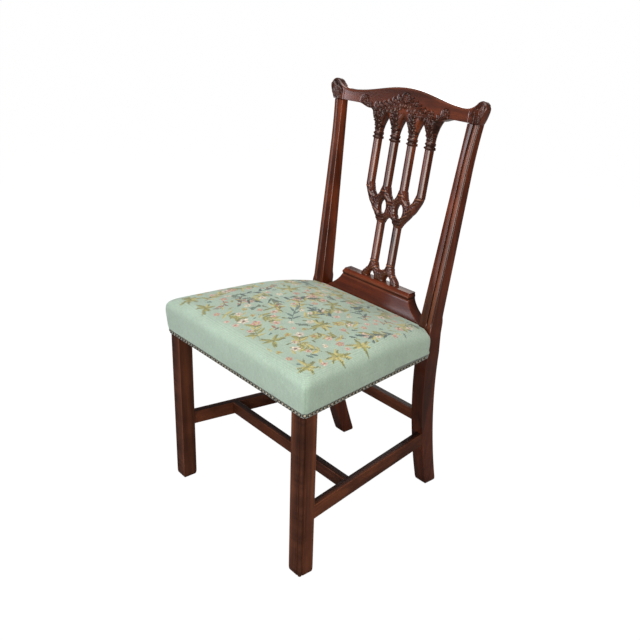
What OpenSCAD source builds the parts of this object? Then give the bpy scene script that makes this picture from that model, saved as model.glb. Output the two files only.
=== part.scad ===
// Side chair with a raked Gothic back and a stuffed-over needlework seat.
// Frame: X to the sitter's left, Y to the back, Z up from the floor, millimetres.

/* [Seat frame] */
// Width over the two front legs
front_w = 510; // [470:1:560]
// Width over the two back legs at the seat
back_w = 421; // [390:1:460]
// Depth from the front of the front legs to the front of the back legs
seat_d = 400; // [360:1:440]
// Height of the underside of the seat rails above the floor
rail_z = 396; // [370:1:420]
// Height of a seat rail
rail_h = 52; // [44:1:64]
// Thickness of the front and side rails
rail_t = 22; // [18:1:26]
// Thickness of the back rail
back_rail_t = 38; // [30:1:38]

/* [Front legs] */
// Side of the square front leg
leg_s = 37.5; // [32:0.5:40]
// Width of the bead worked on the outer front corner
leg_bead = 9; // [6:0.5:11]
// Depth of the quirk beside the bead
leg_quirk = 1.6; // [1:0.1:3]
// Chamfer on the inner back corner
leg_chamfer = 2.5; // [2:0.5:9]

/* [Back legs] */
// Width over the two back feet at the floor
foot_w = 353; // [320:1:400]
// Width over the posts under the top rail
top_w = 461; // [430:1:490]
// Width of a back leg, seen from the front
back_leg_w = 36.5; // [32:0.5:38]
// Depth of a back leg at the seat
back_leg_d = 40; // [38:1:46]
// Distance that the foot runs back behind the seat joint
kick = 75; // [50:1:100]
// How late the kick starts, as a power of the height
kick_power = 1.7; // [1.4:0.1:2.2]
// Step left behind the seat joint, where the post is sawn thinner
heel = 2.5; // [1:0.5:4]
// Height of that step above the seat rails
heel_z = 30; // [20:1:40]
// Depth of the post above the seat
post_d_low = 35; // [28:0.5:35]
// Depth of the post under the top rail
post_d_top = 19; // [18:0.5:24]
// Width of the post under the top rail
post_w_top = 31.5; // [27:0.5:34]
// Hollow of the post's outer edge at its waist
post_waist = 4.2; // [0:0.1:6]
// Height of the waist, where the post starts to sweep out to the ear
waist_z = 820; // [780:1:860]
// Rake of the back from the vertical
rake = 8.7; // [5:0.1:12]
// Height of the joint between post and top rail
post_top = 916.5; // [880:0.5:950]
// Depth of the grooves run up the face of the post
groove_d = 2; // [1:0.1:3]
// Width of the groove
groove_w = 2.6; // [1.5:0.1:4]
// Width of the bead outside the groove
post_bead = 11; // [8:0.5:14]

/* [Top rail] */
// Thickness of the top rail
crest_t = 22; // [19:0.5:26]
// How far the middle of the top rail bows back
bow = 15; // [5:1:20]
// Height of the hump above the post joint
hump_h = 51; // [44:1:60]
// Height of the rail at its two dips
dip_h = 28.5; // [24:0.5:34]
// Distance of a dip from the middle
dip_x = 178; // [165:1:190]
// Radius of the rounded ears
ear_r = 16.5; // [14:0.5:19]
// How far an ear stands out past the post
ear_out = 15; // [12:0.5:19]
// Height of the middle of an ear above the post joint
ear_h = 32; // [28:0.5:36]
// Depth of the lobe that the splat is tenoned into
lobe_h = 8; // [5:0.5:12]

/* [Splat] */
// Rake of the splat
splat_rake = 8.5; // [5:0.05:12]
// Thickness of the splat
splat_t = 15; // [11:0.5:16]
// Distance from the back of the top rail to the back of the splat
splat_set = 0.5; // [0:0.1:3]
// Distance between neighbouring colonnettes
col_pitch = 56; // [50:1:60]
// Width of a colonnette
col_w = 19.5; // [14:0.5:21]
// Height of the lower end of the tracery band above the shoe
band_z = 134; // [120:1:150]
// Height of the tracery band
band_h = 86; // [80:1:96]
// Height of the arch springing above the shoe
spring_z = 342; // [328:1:348]
// Height of an arch from springing to point
arch_h = 46; // [38:1:48]
// Height of a collar
collar_h = 16; // [12:1:20]
// Distance that a collar stands out from its colonnette
collar_out = 3; // [1.5:0.5:4]

/* [Shoe] */
// Height of the shoe above the back rail
shoe_h = 68; // [60:1:76]
// Width of the shoe at its top
shoe_top_w = 228; // [200:1:250]
// Distance from the front of the back rail to the front of the shoe
shoe_set = 9; // [6:1:14]
// Lean of the shoe's front face, base to moulding
shoe_lean = 12; // [6:1:16]

/* [Stretchers] */
// Height of the underside of the side stretchers
side_str_z = 138; // [120:0.5:170]
// Height of a side stretcher
side_str_h = 34; // [28:0.5:42]
// Thickness of the side, cross and back stretchers
str_t = 18; // [14:0.5:22]
// Height of the cross stretcher
cross_str_h = 28.5; // [22:0.5:33]
// Distance from the front of the chair to the cross stretcher
cross_str_y = 150; // [110:1:220]
// Height of the underside of the back stretcher
back_str_z = 198.5; // [180:0.5:240]
// Height of the back stretcher
back_str_h = 28; // [22:0.5:34]

/* [Joints] */
// Thickness of the tenons
tenon_t = 8; // [6:0.5:10]
// Length of the tenons of the rails and stretchers
tenon_l = 17; // [12:1:18]
// Shoulder above and below a tenon
tenon_sh = 6; // [4:0.5:8]
// Clearance round a tenon in its mortise
fit = 0.3; // [0.1:0.1:0.6]
// Inset of rails and stretchers from the faces of the legs
flush = 1; // [0:0.5:2]
// Length of a front corner block along each rail
block_front = 55; // [40:1:70]
// Length of a back corner block along the back rail
block_back_w = 45; // [35:1:60]
// Length of a back corner block along the side rail
block_back_d = 50; // [40:1:65]

/* [Seat] */
// Height of the seat's top edge above the underside of the rails
edge_h = 85; // [74:1:96]
// How much lower the seat is at the back
back_fall = 22; // [10:1:30]
// Crown of the seat over its edge
crown = 14; // [6:1:20]
// Thickness of the needlework cover
cover_t = 2; // [1.5:0.1:3]
// How far the stuffed sides swell past the rails
swell = 6; // [2:0.5:8]
// How far the top of the seat is drawn in before it rounds over
draw_in = 7.5; // [5:0.5:8]
// Radius of the seat's front corners
corner_r = 8; // [6:0.5:8]
// Width of a webbing strip
web_w = 50; // [40:1:60]
// Thickness of the webbing
web_t = 1.8; // [1:0.1:2.5]
// Thickness of the hessian
hessian_t = 1; // [0.6:0.1:1.5]
// Diameter of a nail head
nail_d = 10; // [8:0.5:12]
// Height of a nail head
nail_h = 2.6; // [2:0.1:4]
// Distance from nail to nail
nail_pitch = 10.8; // [10.5:0.1:16]

/* [Hidden] */

mahogany = [0.27, 0.10, 0.06];
beech = [0.62, 0.47, 0.31];
jute = [0.66, 0.54, 0.36];
sage = [0.58, 0.67, 0.55];
antique = [0.36, 0.28, 0.17];

eps = 0.01;
big = 1200;
// Clearance of the cover from the legs, the rails and the shoe
slack = 0.4;
// How far the cover's outer face stands in front of the legs
base_out = cover_t + slack;
// How much thinner the back leg is at the floor
foot_thin = 3;
rail_top = rail_z + rail_h;
post_z = rail_top;
heel_top = rail_top + heel_z;
back_face = seat_d + back_leg_d;
rail_slope = (front_w / 2 - back_w / 2) / (seat_d - leg_s);
rail_turn = atan(rail_slope);
str_mid = side_str_z + side_str_h / 2;
foot_lean = (back_w - foot_w) / 2 / rail_z;
post_lean = (top_w - back_w) / 2 / (post_top - heel_top);
post_in = (top_w / 2 - post_w_top - (back_w / 2 - back_leg_w)) / (post_top - heel_top);
bow_r = (pow(top_w / 2 - post_w_top / 2, 2) + bow * bow) / (2 * bow);
// Radius of the top rail's upper edges
crest_edge = 6;
// Extents that set the origin in the middle of the footprint
front_reach = base_out + swell;
back_reach = max(back_face + kick - foot_thin, leg_front(post_top)
    + (post_d_top / 2 + bow + crest_t / 2) * cos(rake) + (hump_h - crest_edge) * sin(rake));
origin_y = (back_reach - front_reach) / 2;

// Front and back faces of a back leg, as depths at a height
function kicked(z) = pow(max(0, rail_z - z) / rail_z, kick_power);
function leg_front(z) = seat_d + (z < rail_z ? kick * kicked(z) : tan(rake) * max(0, z - post_z));
function post_d(z) = post_d_low + (post_d_top - post_d_low) * (z - heel_top) / (post_top - heel_top);
function leg_back(z) = z < rail_z ? back_face + (kick - foot_thin) * kicked(z) : back_face;
// Outer half width over the back legs at a height
function leg_out(z) = z < rail_z ? foot_w / 2 + foot_lean * z
                                 : back_w / 2 + post_lean * max(0, z - heel_top) - hollow(z);
// Hollow of the post's outer edge: it grows up to the waist and then sweeps out to the ear
function hollow(z) = z < heel_top ? 0
    : z < waist_z ? post_waist * (z - heel_top) / (waist_z - heel_top)
    : post_waist * (1 - pow((z - waist_z) / (post_top - waist_z), 2));
function leg_in(z) = z < heel_top ? leg_out(z) - back_leg_w
                                  : back_w / 2 - back_leg_w + post_in * (z - heel_top);
// Line through the outer faces of the side rails
function side_x(y) = front_w / 2 - rail_slope * (y - leg_s);

// Puts a solid drawn from the front face back into the middle of the footprint
module placed() { translate([0, -origin_y, 0]) children(); }
// Repeats a left piece on the right
module right_hand() { mirror([1, 0, 0]) children(); }
// Extrudes a side view (depth, height) across the chair
module across(x0, x1) {
    translate([x0, 0, 0]) rotate([90, 0, 90]) linear_extrude(x1 - x0) children();
}
// Extrudes a front view (width, height) from front to back
module through(y0, y1) {
    translate([0, y1, 0]) rotate([90, 0, 0]) linear_extrude(y1 - y0) children();
}

// Plan of a bar that runs beside the chair from front to back
module side_strip(x0, x1, y0, y1, inset, t, before, after) {
    k = (x1 - x0) / (y1 - y0);
    wide = t * sqrt(1 + k * k);
    skip = inset * sqrt(1 + k * k);
    function at(y) = x0 + k * (y - y0) - skip;
    ya = y0 - before;
    yb = y1 + after;
    polygon([[at(ya), ya], [at(yb), yb], [at(yb) - wide, yb], [at(ya) - wide, ya]]);
}

// Tenons of the side rail, with c of clearance for the mortises
module side_rail_tenon(c) {
    translate([0, 0, rail_z + tenon_sh - c]) linear_extrude(rail_h - 2 * tenon_sh + 2 * c)
        side_strip(side_x(leg_s) - flush, side_x(seat_d) - flush, leg_s, seat_d,
                   (rail_t - tenon_t) / 2 - c, tenon_t + 2 * c, tenon_l + 4 * c, tenon_l + 4 * c);
}

module side_str_plan(inset, t, before, after) {
    side_strip(front_w / 2 - flush, leg_out(str_mid) - flush, leg_s, leg_front(str_mid),
               inset, t, before, after);
}

module side_str_tenon(c) {
    translate([0, 0, side_str_z + tenon_sh - c]) linear_extrude(side_str_h - 2 * tenon_sh + 2 * c)
        side_str_plan((str_t - tenon_t) / 2 - c, tenon_t + 2 * c, tenon_l + 4 * c, tenon_l + 4 * c);
}

front_tenon_y = 8;
module front_rail_tenon(c) {
    reach = front_w / 2 - leg_s + tenon_l + 4 * c;
    translate([-reach, front_tenon_y - c, rail_z + tenon_sh - c])
        cube([2 * reach, tenon_t + 2 * c, rail_h - 2 * tenon_sh + 2 * c]);
}

back_tenon_y = seat_d + tenon_l + 7;
module back_rail_tenon(c) {
    reach = back_w / 2 - back_leg_w + tenon_l + 4 * c;
    translate([-reach, back_tenon_y - c, rail_z + tenon_sh - c])
        cube([2 * reach, tenon_t + 2 * c, rail_h - 2 * tenon_sh + 2 * c]);
}

back_str_y = leg_front(back_str_z + back_str_h / 2) + 6;
module back_str_tenon(c) {
    reach = leg_in(back_str_z + back_str_h / 2) + tenon_l + 4 * c;
    translate([-reach, back_str_y + (str_t - tenon_t) / 2 - c, back_str_z + tenon_sh - c])
        cube([2 * reach, tenon_t + 2 * c, back_str_h - 2 * tenon_sh + 2 * c]);
}

// Front leg: square, with a quirked bead on the outer corner
module leg_section() {
    r = leg_bead / 2;
    q = leg_quirk;
    bead = [for (a = [300 : -25 : 150]) [r + r * cos(a), r + r * sin(a)]];
    polygon(concat([[leg_s, 0], [leg_bead + q, 0], [leg_bead + q, q], [leg_bead, q]], bead,
                   [[q, leg_bead], [q, leg_bead + q], [0, leg_bead + q], [0, leg_s],
                    [leg_s - leg_chamfer, leg_s], [leg_s, leg_s - leg_chamfer]]));
}

module front_leg_left() {
    color(mahogany) placed() difference() {
        translate([front_w / 2, 0, 0]) mirror([1, 0, 0]) linear_extrude(rail_top) leg_section();
        front_rail_tenon(fit);
        side_rail_tenon(fit);
        side_str_tenon(fit);
    }
}
module front_leg_right() { right_hand() front_leg_left(); }

// Back leg and post, sawn in one piece: a side view met by a front view
module back_leg_side() {
    drop = post_d_top * sin(rake);
    top_y = leg_front(post_top);
    low = [for (i = [0 : 12]) i * rail_z / 12];
    polygon(concat([for (z = low) [leg_front(z), z]],
                   [[seat_d, post_z], [top_y, post_top], [top_y + post_d_top * cos(rake), post_top - drop],
                    [leg_front(heel_top + 8) + post_d_low, heel_top + 8],
                    [back_face + heel, heel_top], [back_face + heel, heel_top - 6],
                    [back_face, rail_top]],
                   [for (i = [12 : -1 : 0]) [leg_back(low[i]), low[i]]]));
}
post_levels = concat([heel_top], [for (i = [0 : 6]) waist_z + (post_top - waist_z) * i / 6]);
function outer_edge(inset, levels) = [for (z = levels) [leg_out(z) - inset, z]];
module back_leg_front() {
    polygon(concat([[leg_in(0), 0]], outer_edge(0, [0, rail_z]), outer_edge(0, post_levels),
                   [[leg_in(post_top), post_top], [leg_in(heel_top), heel_top], [leg_in(rail_z), rail_z]]));
}
module back_leg_blank() {
    intersection() {
        across(foot_w / 2 - 2 * back_leg_w, top_w / 2 + 1) back_leg_side();
        through(seat_d - 1, back_face + big / 2) back_leg_front();
    }
}
// Strip that follows the outer edge of the post, from one inset to another
module post_strip(a, b) {
    z0 = heel_top - 10;
    levels = concat([z0], post_levels, [post_top + 1]);
    intersection() {
        through(0, big) polygon(concat(outer_edge(a, levels), reversed(outer_edge(b, levels))));
        across(0, big / 2) polygon([[0, z0], [leg_front(z0) + groove_d, z0],
                                    [leg_front(post_top) + groove_d, post_top],
                                    [leg_front(post_top), post_top + 1], [0, post_top + 1]]);
    }
}
module back_leg_left() {
    color(mahogany) placed() {
        difference() {
            back_leg_blank();
            back_rail_tenon(fit);
            side_rail_tenon(fit);
            side_str_tenon(fit);
            back_str_tenon(fit);
            post_strip(-1, groove_w);
            post_strip(groove_w + post_bead, 2 * groove_w + post_bead);
        }
        crest_frame() post_tenon(0);
    }
}
module back_leg_right() { right_hand() back_leg_left(); }

// Frame of the top rail: origin between the post tops, raked with the posts
module crest_frame() {
    translate([0, leg_front(post_top), post_top]) rotate([-rake, 0, 0])
        translate([0, post_d_top / 2, 0]) children();
}
module post_tenon(c) {
    x = top_w / 2 - post_w_top / 2;
    translate([x - tenon_t - c, -tenon_t / 2 - c, c > 0 ? -1 : -eps])
        cube([2 * (tenon_t + c), tenon_t + 2 * c, tenon_l + (c > 0 ? 1 + 4 * c : eps)]);
}

// Top rail: rounded sections set along the bow
crest_end = top_w / 2 + ear_out;
ear_x = crest_end - ear_r;
ear_in = ear_x - 0.8 * ear_r;
joint_x = col_pitch * 2;
lobe_run = 36;
function bowed(x) = bow - bow_r + sqrt(bow_r * bow_r - x * x);
function crest_y(x, z) = leg_front(post_top) + post_d_top / 2 * cos(rake) + bowed(x) + z * sin(rake);
function ease(t) = t <= 0 ? 0 : t >= 1 ? 1 : t * t * (3 - 2 * t);
function hump(x) = dip_h + (hump_h - dip_h) * pow((1 + cos(180 * x / dip_x)) / 2, 0.95);
function ramp(x) = dip_h + (ear_h + 0.6 * ear_r - dip_h) * pow((x - dip_x) / (ear_in - dip_x), 2.4);
function ear(x) = ear_h + sqrt(max(0, ear_r * ear_r - (x - ear_x) * (x - ear_x)));
function crest_top(x) = x < dip_x ? hump(x) : x < ear_in ? ramp(x) : ear(x);
function crest_low(x) = x > top_w / 2
    ? ear_h * pow((x - top_w / 2) / ear_out, 1.2)
    : -lobe_h * (1 - ease((x - joint_x) / lobe_run));
function crest_half(x) = crest_t / 2
    * (x < ear_x ? 1 : 0.45 + 0.55 * sqrt(max(0, 1 - pow((x - ear_x) / ear_r, 2))));
function crest_ring(x) =
    let (a = abs(x), h = crest_half(a), top = crest_top(a), low = crest_low(a), y = bowed(a),
         r = min(crest_edge, (top - low) * 0.45, h * 0.9),
         q = a > joint_x + lobe_run && a < top_w / 2 ? 0.4 : min(2.5, (top - low) * 0.3))
    concat([[x, y - h, low + q], [x, y - h, top - r]],
           [for (w = [30, 60]) [x, y - h + r * (1 - cos(w)), top - r + r * sin(w)]],
           [[x, y - h + r, top], [x, y + h - r, top]],
           [for (w = [60, 30]) [x, y + h - r * (1 - cos(w)), top - r + r * sin(w)]],
           [[x, y + h, top - r], [x, y + h, low + q], [x, y + h - q, low], [x, y - h + q, low]]);
crest_x = concat([for (i = [0 : 10]) dip_x * i / 10], [for (i = [1 : 5]) dip_x + (ear_in - dip_x) * i / 5],
                 [(ear_in + top_w / 2) / 2, top_w / 2],
                 [for (w = [25 : 15 : 85]) top_w / 2 + ear_out * sin(w)]);
function middle(ring) = [for (k = [0 : 2]) [for (p = ring) p[k]] * [for (p = ring) 1] / len(ring)];
// Skins a row of rings, each clockwise seen from the last one
module ring_loft(rings) {
    n = len(rings[0]);
    m = len(rings);
    points = concat([for (r = rings) each r], [middle(rings[0]), middle(rings[m - 1])]);
    sides = [for (i = [0 : m - 2], j = [0 : n - 1], f = [0, 1])
        let (a = i * n + j, b = i * n + (j + 1) % n) f == 0 ? [a, b, b + n] : [a, b + n, a + n]];
    first = [for (j = [0 : n - 1]) [(j + 1) % n, j, m * n]];
    last = [for (j = [0 : n - 1]) [(m - 1) * n + j, (m - 1) * n + (j + 1) % n, m * n + 1]];
    polyhedron(points, concat(sides, first, last), convexity = 6);
}
module crest_rail() {
    n = len(crest_x);
    stations = concat([for (i = [n - 1 : -1 : 1]) -crest_x[i]], crest_x);
    color(mahogany) placed() difference() {
        crest_frame() ring_loft([for (x = stations) crest_ring(x)]);
        crest_frame() post_tenon(fit);
        crest_frame() right_hand() post_tenon(fit);
        splat_tenon(fit);
    }
}

// Splat: four colonnettes that draw together through a tracery band
shoe_z = rail_top + shoe_h;
splat_top = (post_top - lobe_h - shoe_z) / cos(splat_rake) + 20;
splat_y = crest_y(0, -lobe_h) + (crest_t - splat_t) / 2 - splat_set
    - tan(splat_rake) * (post_top - lobe_h * cos(rake) - shoe_z);
c1 = col_pitch / 2;
c2 = col_pitch * 1.5;
hw = col_w / 2;
module splat_frame() {
    translate([0, splat_y, shoe_z]) rotate([-splat_rake, 0, 0]) children();
}
module both_sides() {
    children();
    mirror([1, 0, 0]) children();
}
module plate(t) { translate([0, t / 2, 0]) rotate([90, 0, 0]) linear_extrude(t) children(); }
// A pointed opening, w wide and h high about its middle
module ogive(w, h) {
    polygon([for (s = [1, -1], i = [0 : 6])
        let (a = -90 + 30 * i) [s * w / 2 * pow(cos(a), 0.8), s * h / 2 * sin(a)]]);
}
module foot_band() {
    difference() {
        both_sides() polygon([[0, 0], [c1 + col_pitch * 0.6, 0], [c1 + col_pitch * 0.57, 7], [c1 + 17, 22],
                              [c1 + hw, 38], [c1 - hw, 38], [c1 - 18, 26], [0, 22]]);
        both_sides() translate([c1, 5]) ogive(20, 22);
    }
}
module tracery_band() {
    z = band_z;
    t = band_z + band_h;
    difference() {
        both_sides() polygon([
            [0, z + 18], [c1 - hw - 8, z + 9], [c1 - hw, z], [c1 + hw, z], [c1 + hw + 8, z + 13],
            [c1 + col_pitch * 0.6, z + band_h * 0.38], [c1 + col_pitch * 0.77, z + band_h * 0.51],
            [c2 - 4, z + band_h * 0.67], [c2 + hw - 1, t], [c2 - hw + 1, t + 4],
            [c2 - hw - 9, t - 14], [c1 + c1, t - 26], [c1 + hw + 8, t - 16], [c1 + hw, t],
            [c1 - hw, t], [c1 - hw - 8, t - 16], [0, t - 26]]);
        both_sides() translate([c1, z + 41]) ogive(24, 36);
    }
}
function arch_edge(x, s) = [for (t = [0 : 0.25 : 1])
    [x + s * (c1 - hw) * (1 - pow(t, 1.7)), spring_z + arch_h * t]];
function reversed(list) = [for (i = [len(list) - 1 : -1 : 0]) list[i]];
module arch_band() {
    both_sides() polygon(concat(
        [[0, splat_top]], [[0, spring_z + arch_h]], reversed(arch_edge(0, 1)),
        arch_edge(2 * c1, -1), reversed(arch_edge(2 * c1, 1)),
        [[c2 + hw, spring_z], [c2 + hw + 2, spring_z + arch_h * 0.38], [c2 + hw + 6, spring_z + arch_h * 0.8],
         [c2 + hw + 12, spring_z + arch_h + 4], [2 * col_pitch, spring_z + arch_h + 12],
         [2 * col_pitch, splat_top]]));
}
module colonnette(x, z0, z1) {
    translate([x, 0, z0]) linear_extrude(z1 - z0)
        polygon(concat([[hw, splat_t / 2 - 1]], [for (a = [0 : -22.5 : -180]) [hw * cos(a), hw * sin(a)]],
                       [[-hw, splat_t / 2 - 1]]));
}
module collar(x, z, w) {
    ring = collar_h / 3;
    deep = splat_t / 2 + hw + 2;
    for (k = [0, 2])
        translate([x - w / 2, -hw - collar_out / 2, z + k * ring]) cube([w, deep, ring]);
    translate([x - w / 2 + 1.5, -hw, z + ring - eps]) cube([w - 3, deep - 2, ring + 2 * eps]);
}
module splat_tenon(c) {
    splat_frame() translate([-col_pitch * 1.8 - c, -tenon_t / 2 - c, splat_top - 40])
        cube([col_pitch * 3.6 + 2 * c, tenon_t + 2 * c, 32 + c]);
}
foot_tenon_l = 14;
module foot_tenon(c) {
    splat_frame() translate([-c1 - 20 - c, -tenon_t / 2 - c, -foot_tenon_l - 3 * c])
        cube([2 * c1 + 40 + 2 * c, tenon_t + 2 * c, foot_tenon_l + 3 * c + eps]);
}
module splat() {
    color(mahogany) placed() {
        difference() {
            union() {
                splat_frame() {
                    plate(splat_t) foot_band();
                    plate(splat_t) tracery_band();
                    plate(splat_t) arch_band();
                    both_sides() {
                        colonnette(c1, 34, band_z + 12);
                        colonnette(c1, band_z + band_h - 6, spring_z + 4);
                        colonnette(c2, band_z + band_h - 2, spring_z + 4);
                        collar(c1, band_z + 8, col_w + 4 * collar_out);
                        collar(c1, spring_z - collar_h + 2, col_w + 2 * collar_out);
                        collar(c2, spring_z - collar_h + 2, col_w + 2 * collar_out);
                    }
                }
            }
            crest_frame() translate([-big / 2, -big / 2, -lobe_h]) cube(big);
            translate([-big / 2, 0, shoe_z - big]) cube(big);
        }
        intersection() {
            splat_tenon(0);
            crest_frame() translate([-big / 2, -big / 2, -big + 4]) cube(big);
        }
        foot_tenon(0);
    }
}

// Shoe: a moulded block on the back rail that takes the foot of the splat
module shoe() {
    y0 = seat_d + shoe_set;
    back = splat_y + splat_t / 2 + 1;
    rail_back = seat_d + flush + back_rail_t;
    lip = y0 + shoe_lean;
    w = shoe_top_w / 2;
    end = back_w / 2 - back_leg_w - fit;
    edge = [[end, rail_top], [end, rail_top + 7], [end - 22, rail_top + 13], [w + 22, rail_top + 24],
            [w + 11, rail_top + 36], [w + 5, rail_top + 48], [w + 3, shoe_z - 13], [w, shoe_z]];
    color(mahogany) placed() difference() {
        intersection() {
            across(-end - 1, end + 1) polygon([
                [y0, rail_top], [y0, rail_top + 8], [lip, shoe_z - 16], [lip - 2, shoe_z - 14],
                [lip - 2, shoe_z - 11], [lip + 1.5, shoe_z - 10], [lip + 3, shoe_z - 5],
                [lip + 6, shoe_z], [back, shoe_z], [rail_back, rail_top]]);
            through(seat_d, back + 5) polygon(concat(edge, [for (p = reversed(edge)) [-p[0], p[1]]]));
        }
        foot_tenon(fit);
    }
}

// Seat rails
module front_rail() {
    x = front_w / 2 - leg_s;
    color(beech) placed() {
        translate([-x, flush, rail_z]) cube([2 * x, rail_t, rail_h]);
        front_rail_tenon(0);
    }
}
module back_rail() {
    x = back_w / 2 - back_leg_w;
    color(mahogany) placed() {
        translate([-x, seat_d + flush, rail_z]) cube([2 * x, back_rail_t, rail_h]);
        back_rail_tenon(0);
    }
}
module side_rail_left() {
    color(beech) placed() {
        translate([0, 0, rail_z]) linear_extrude(rail_h)
            side_strip(side_x(leg_s) - flush, side_x(seat_d) - flush, leg_s, seat_d, 0, rail_t, 0, 0);
        side_rail_tenon(0);
    }
}
module side_rail_right() { right_hand() side_rail_left(); }

// Stretchers
module side_stretcher_left() {
    color(mahogany) placed() difference() {
        union() {
            difference() {
                translate([0, 0, side_str_z]) linear_extrude(side_str_h) side_str_plan(0, str_t, 0, 15);
                back_leg_blank();
            }
            side_str_tenon(0);
        }
        cross_str_tenon(fit);
    }
}
module side_stretcher_right() { right_hand() side_stretcher_left(); }

function str_in(y) =
    let (k = (leg_out(str_mid) - front_w / 2) / (leg_front(str_mid) - leg_s))
    front_w / 2 - flush + k * (y - leg_s) - str_t * sqrt(1 + k * k);
cross_tenon_l = 10;
module cross_str_plan(inset, reach) {
    y0 = cross_str_y + inset;
    y1 = cross_str_y + str_t - inset;
    polygon([[-str_in(y0) - reach, y0], [str_in(y0) + reach, y0],
             [str_in(y1) + reach, y1], [-str_in(y1) - reach, y1]]);
}
cross_str_z = side_str_z + side_str_h - cross_str_h;
module cross_str_tenon(c) {
    translate([0, 0, cross_str_z + tenon_sh - c]) linear_extrude(cross_str_h - 2 * tenon_sh + 2 * c)
        cross_str_plan((str_t - tenon_t) / 2 - c, cross_tenon_l + 3 * c);
}
module cross_stretcher() {
    color(mahogany) placed() {
        translate([0, 0, cross_str_z]) linear_extrude(cross_str_h) cross_str_plan(0, 0);
        cross_str_tenon(0);
    }
}
module back_stretcher() {
    x = leg_in(back_str_z + back_str_h / 2) + 8;
    color(mahogany) placed() {
        difference() {
            translate([-x, back_str_y, back_str_z]) cube([2 * x, str_t, back_str_h]);
            back_leg_blank();
            right_hand() back_leg_blank();
        }
        back_str_tenon(0);
    }
}

// Blocks glued and screwed into the corners of the seat frame
block_h = 36;
block_z = rail_z + 8;
function rail_in(y) = side_x(y) - flush - rail_t * sqrt(1 + rail_slope * rail_slope) - fit;
module corner_block_front_left() {
    y = flush + rail_t + fit;
    x = front_w / 2 - leg_s - fit;
    yb = leg_s + fit;
    color(beech) placed() translate([0, 0, block_z]) linear_extrude(block_h)
        polygon([[x - block_front, y], [x, y], [x, yb], [rail_in(yb), yb],
                 [rail_in(yb + block_front), yb + block_front]]);
}
module corner_block_front_right() { right_hand() corner_block_front_left(); }
module corner_block_back_left() {
    y = seat_d - fit;
    x = back_w / 2 - back_leg_w - fit;
    color(beech) placed() translate([0, 0, block_z]) linear_extrude(block_h)
        polygon([[x - block_back_w, y + flush], [x, y + flush], [x, y], [rail_in(y), y],
                 [rail_in(y - block_back_d), y - block_back_d]]);
}
module corner_block_back_right() { right_hand() corner_block_back_left(); }

// Webbing: three strips each way, tacked to the tops of the rails
long_x = 95;
cross_ys = [85, 195, 305];
module webbing_long() {
    color(jute) placed() for (x = [-long_x, 0, long_x])
        translate([x - web_w / 2, flush + 2, rail_top])
            cube([web_w, seat_back - cover_t - slack - flush - 2, web_t]);
}
module webbing_cross() {
    color(jute) placed() for (y = cross_ys) {
        out = side_x(y + web_w / 2) - flush - 2;
        in = out - rail_t + 2;
        z0 = rail_top;
        z1 = rail_top + web_t + 0.1;
        through(y - web_w / 2, y + web_w / 2) polygon([
            [-out, z0], [-in, z0], [-in + 12, z1], [in - 12, z1], [in, z0], [out, z0],
            [out, z0 + web_t], [in, z0 + web_t], [in - 12, z1 + web_t],
            [-in + 12, z1 + web_t], [-in, z0 + web_t], [-out, z0 + web_t]]);
    }
}
pad_z = rail_top + 2 * web_t + 0.2 + hessian_t;
module hessian() {
    in = 6;
    y1 = seat_d - 6;
    color(jute) placed() translate([0, 0, pad_z - hessian_t]) linear_extrude(hessian_t)
        polygon([[-side_x(in) + in, in], [side_x(in) - in, in],
                 [side_x(y1) - in, y1], [-side_x(y1) + in, y1]]);
}

// Seat outline, one half and then the other, pushed out from the rails and moved in by the skin s
notch_x = back_w / 2 - back_leg_w - slack;
seat_back = seat_d + shoe_set - slack;
corner_x = side_x(corner_r) - corner_r * sqrt(1 + rail_slope * rail_slope);
function outline(out, s) =
    let (o = out - s, r = corner_r + o, in = s + max(0, -out), n = notch_x - in, yn = seat_d - slack - in,
         yb = seat_back - in, ya = corner_r + r * sin(rail_turn),
         half = concat(
            [for (i = [0 : 5]) [corner_x * i / 5, -o]],
            [for (i = [1 : 4]) let (a = -90 + (90 + rail_turn) * i / 4)
                [corner_x + r * cos(a), corner_r + r * sin(a)]],
            [for (i = [1 : 8]) let (y = ya + (yn - ya) * i / 8)
                [side_x(y) + o * sqrt(1 + rail_slope * rail_slope), y]],
            [[n, yn], [n, yb], [n * 0.6, yb], [n * 0.3, yb], [0, yb]]))
    concat(half, [for (i = [len(half) - 2 : -1 : 1]) [-half[i][0], half[i][1]]]);
seat_mid = seat_back / 2;
function rise(y) = edge_h - back_fall * pow(max(0, y - seat_mid) / (seat_back - seat_mid), 2);
function dome(x, y) = pow(max(0, 1 - pow(x / side_x(y), 2)) * max(0, 1 - pow(y / seat_mid - 1, 2)), 0.8);
// One ring of the seat: f of the edge height, pushed out by o, drawn in to t, and the skin moved in by s
function seat_ring(f, o, t, s) = [for (p = outline(o, s))
    let (x = p[0] * t, y = seat_mid + (p[1] - seat_mid) * t)
    [x, y, rail_z + f * (rise(y) - s) + (f < 1 ? 0 : crown * dome(x, y))]];
levels = [[0.2, base_out, 1], [0.42, base_out + swell * 0.45, 1], [0.62, base_out + swell * 0.9, 1],
          [0.78, base_out + swell, 1], [0.9, base_out + swell * 0.6, 1],
          [0.97, base_out - draw_in * 0.2, 1], [1, base_out - draw_in, 1], [1, base_out - draw_in, 0.86],
          [1, base_out - draw_in, 0.66], [1, base_out - draw_in, 0.42], [1, base_out - draw_in, 0.16]];
module seat_form(s, bottom) {
    ring_loft(concat(reversed([for (l = levels) seat_ring(l[0], l[1], l[2], s)]), bottom));
}
module seat_cover() {
    clear = 0.3;
    color(sage) placed() difference() {
        seat_form(0, [seat_ring(0, base_out, 1, 0)]);
        seat_form(cover_t, [[for (p = outline(base_out, cover_t)) [p[0], p[1], rail_z - 5]]]);
        translate([-side_x(seat_d), seat_d - 8, rail_z - 10])
            cube([2 * side_x(seat_d), 40, rail_h + 10 + clear]);
    }
}
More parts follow.
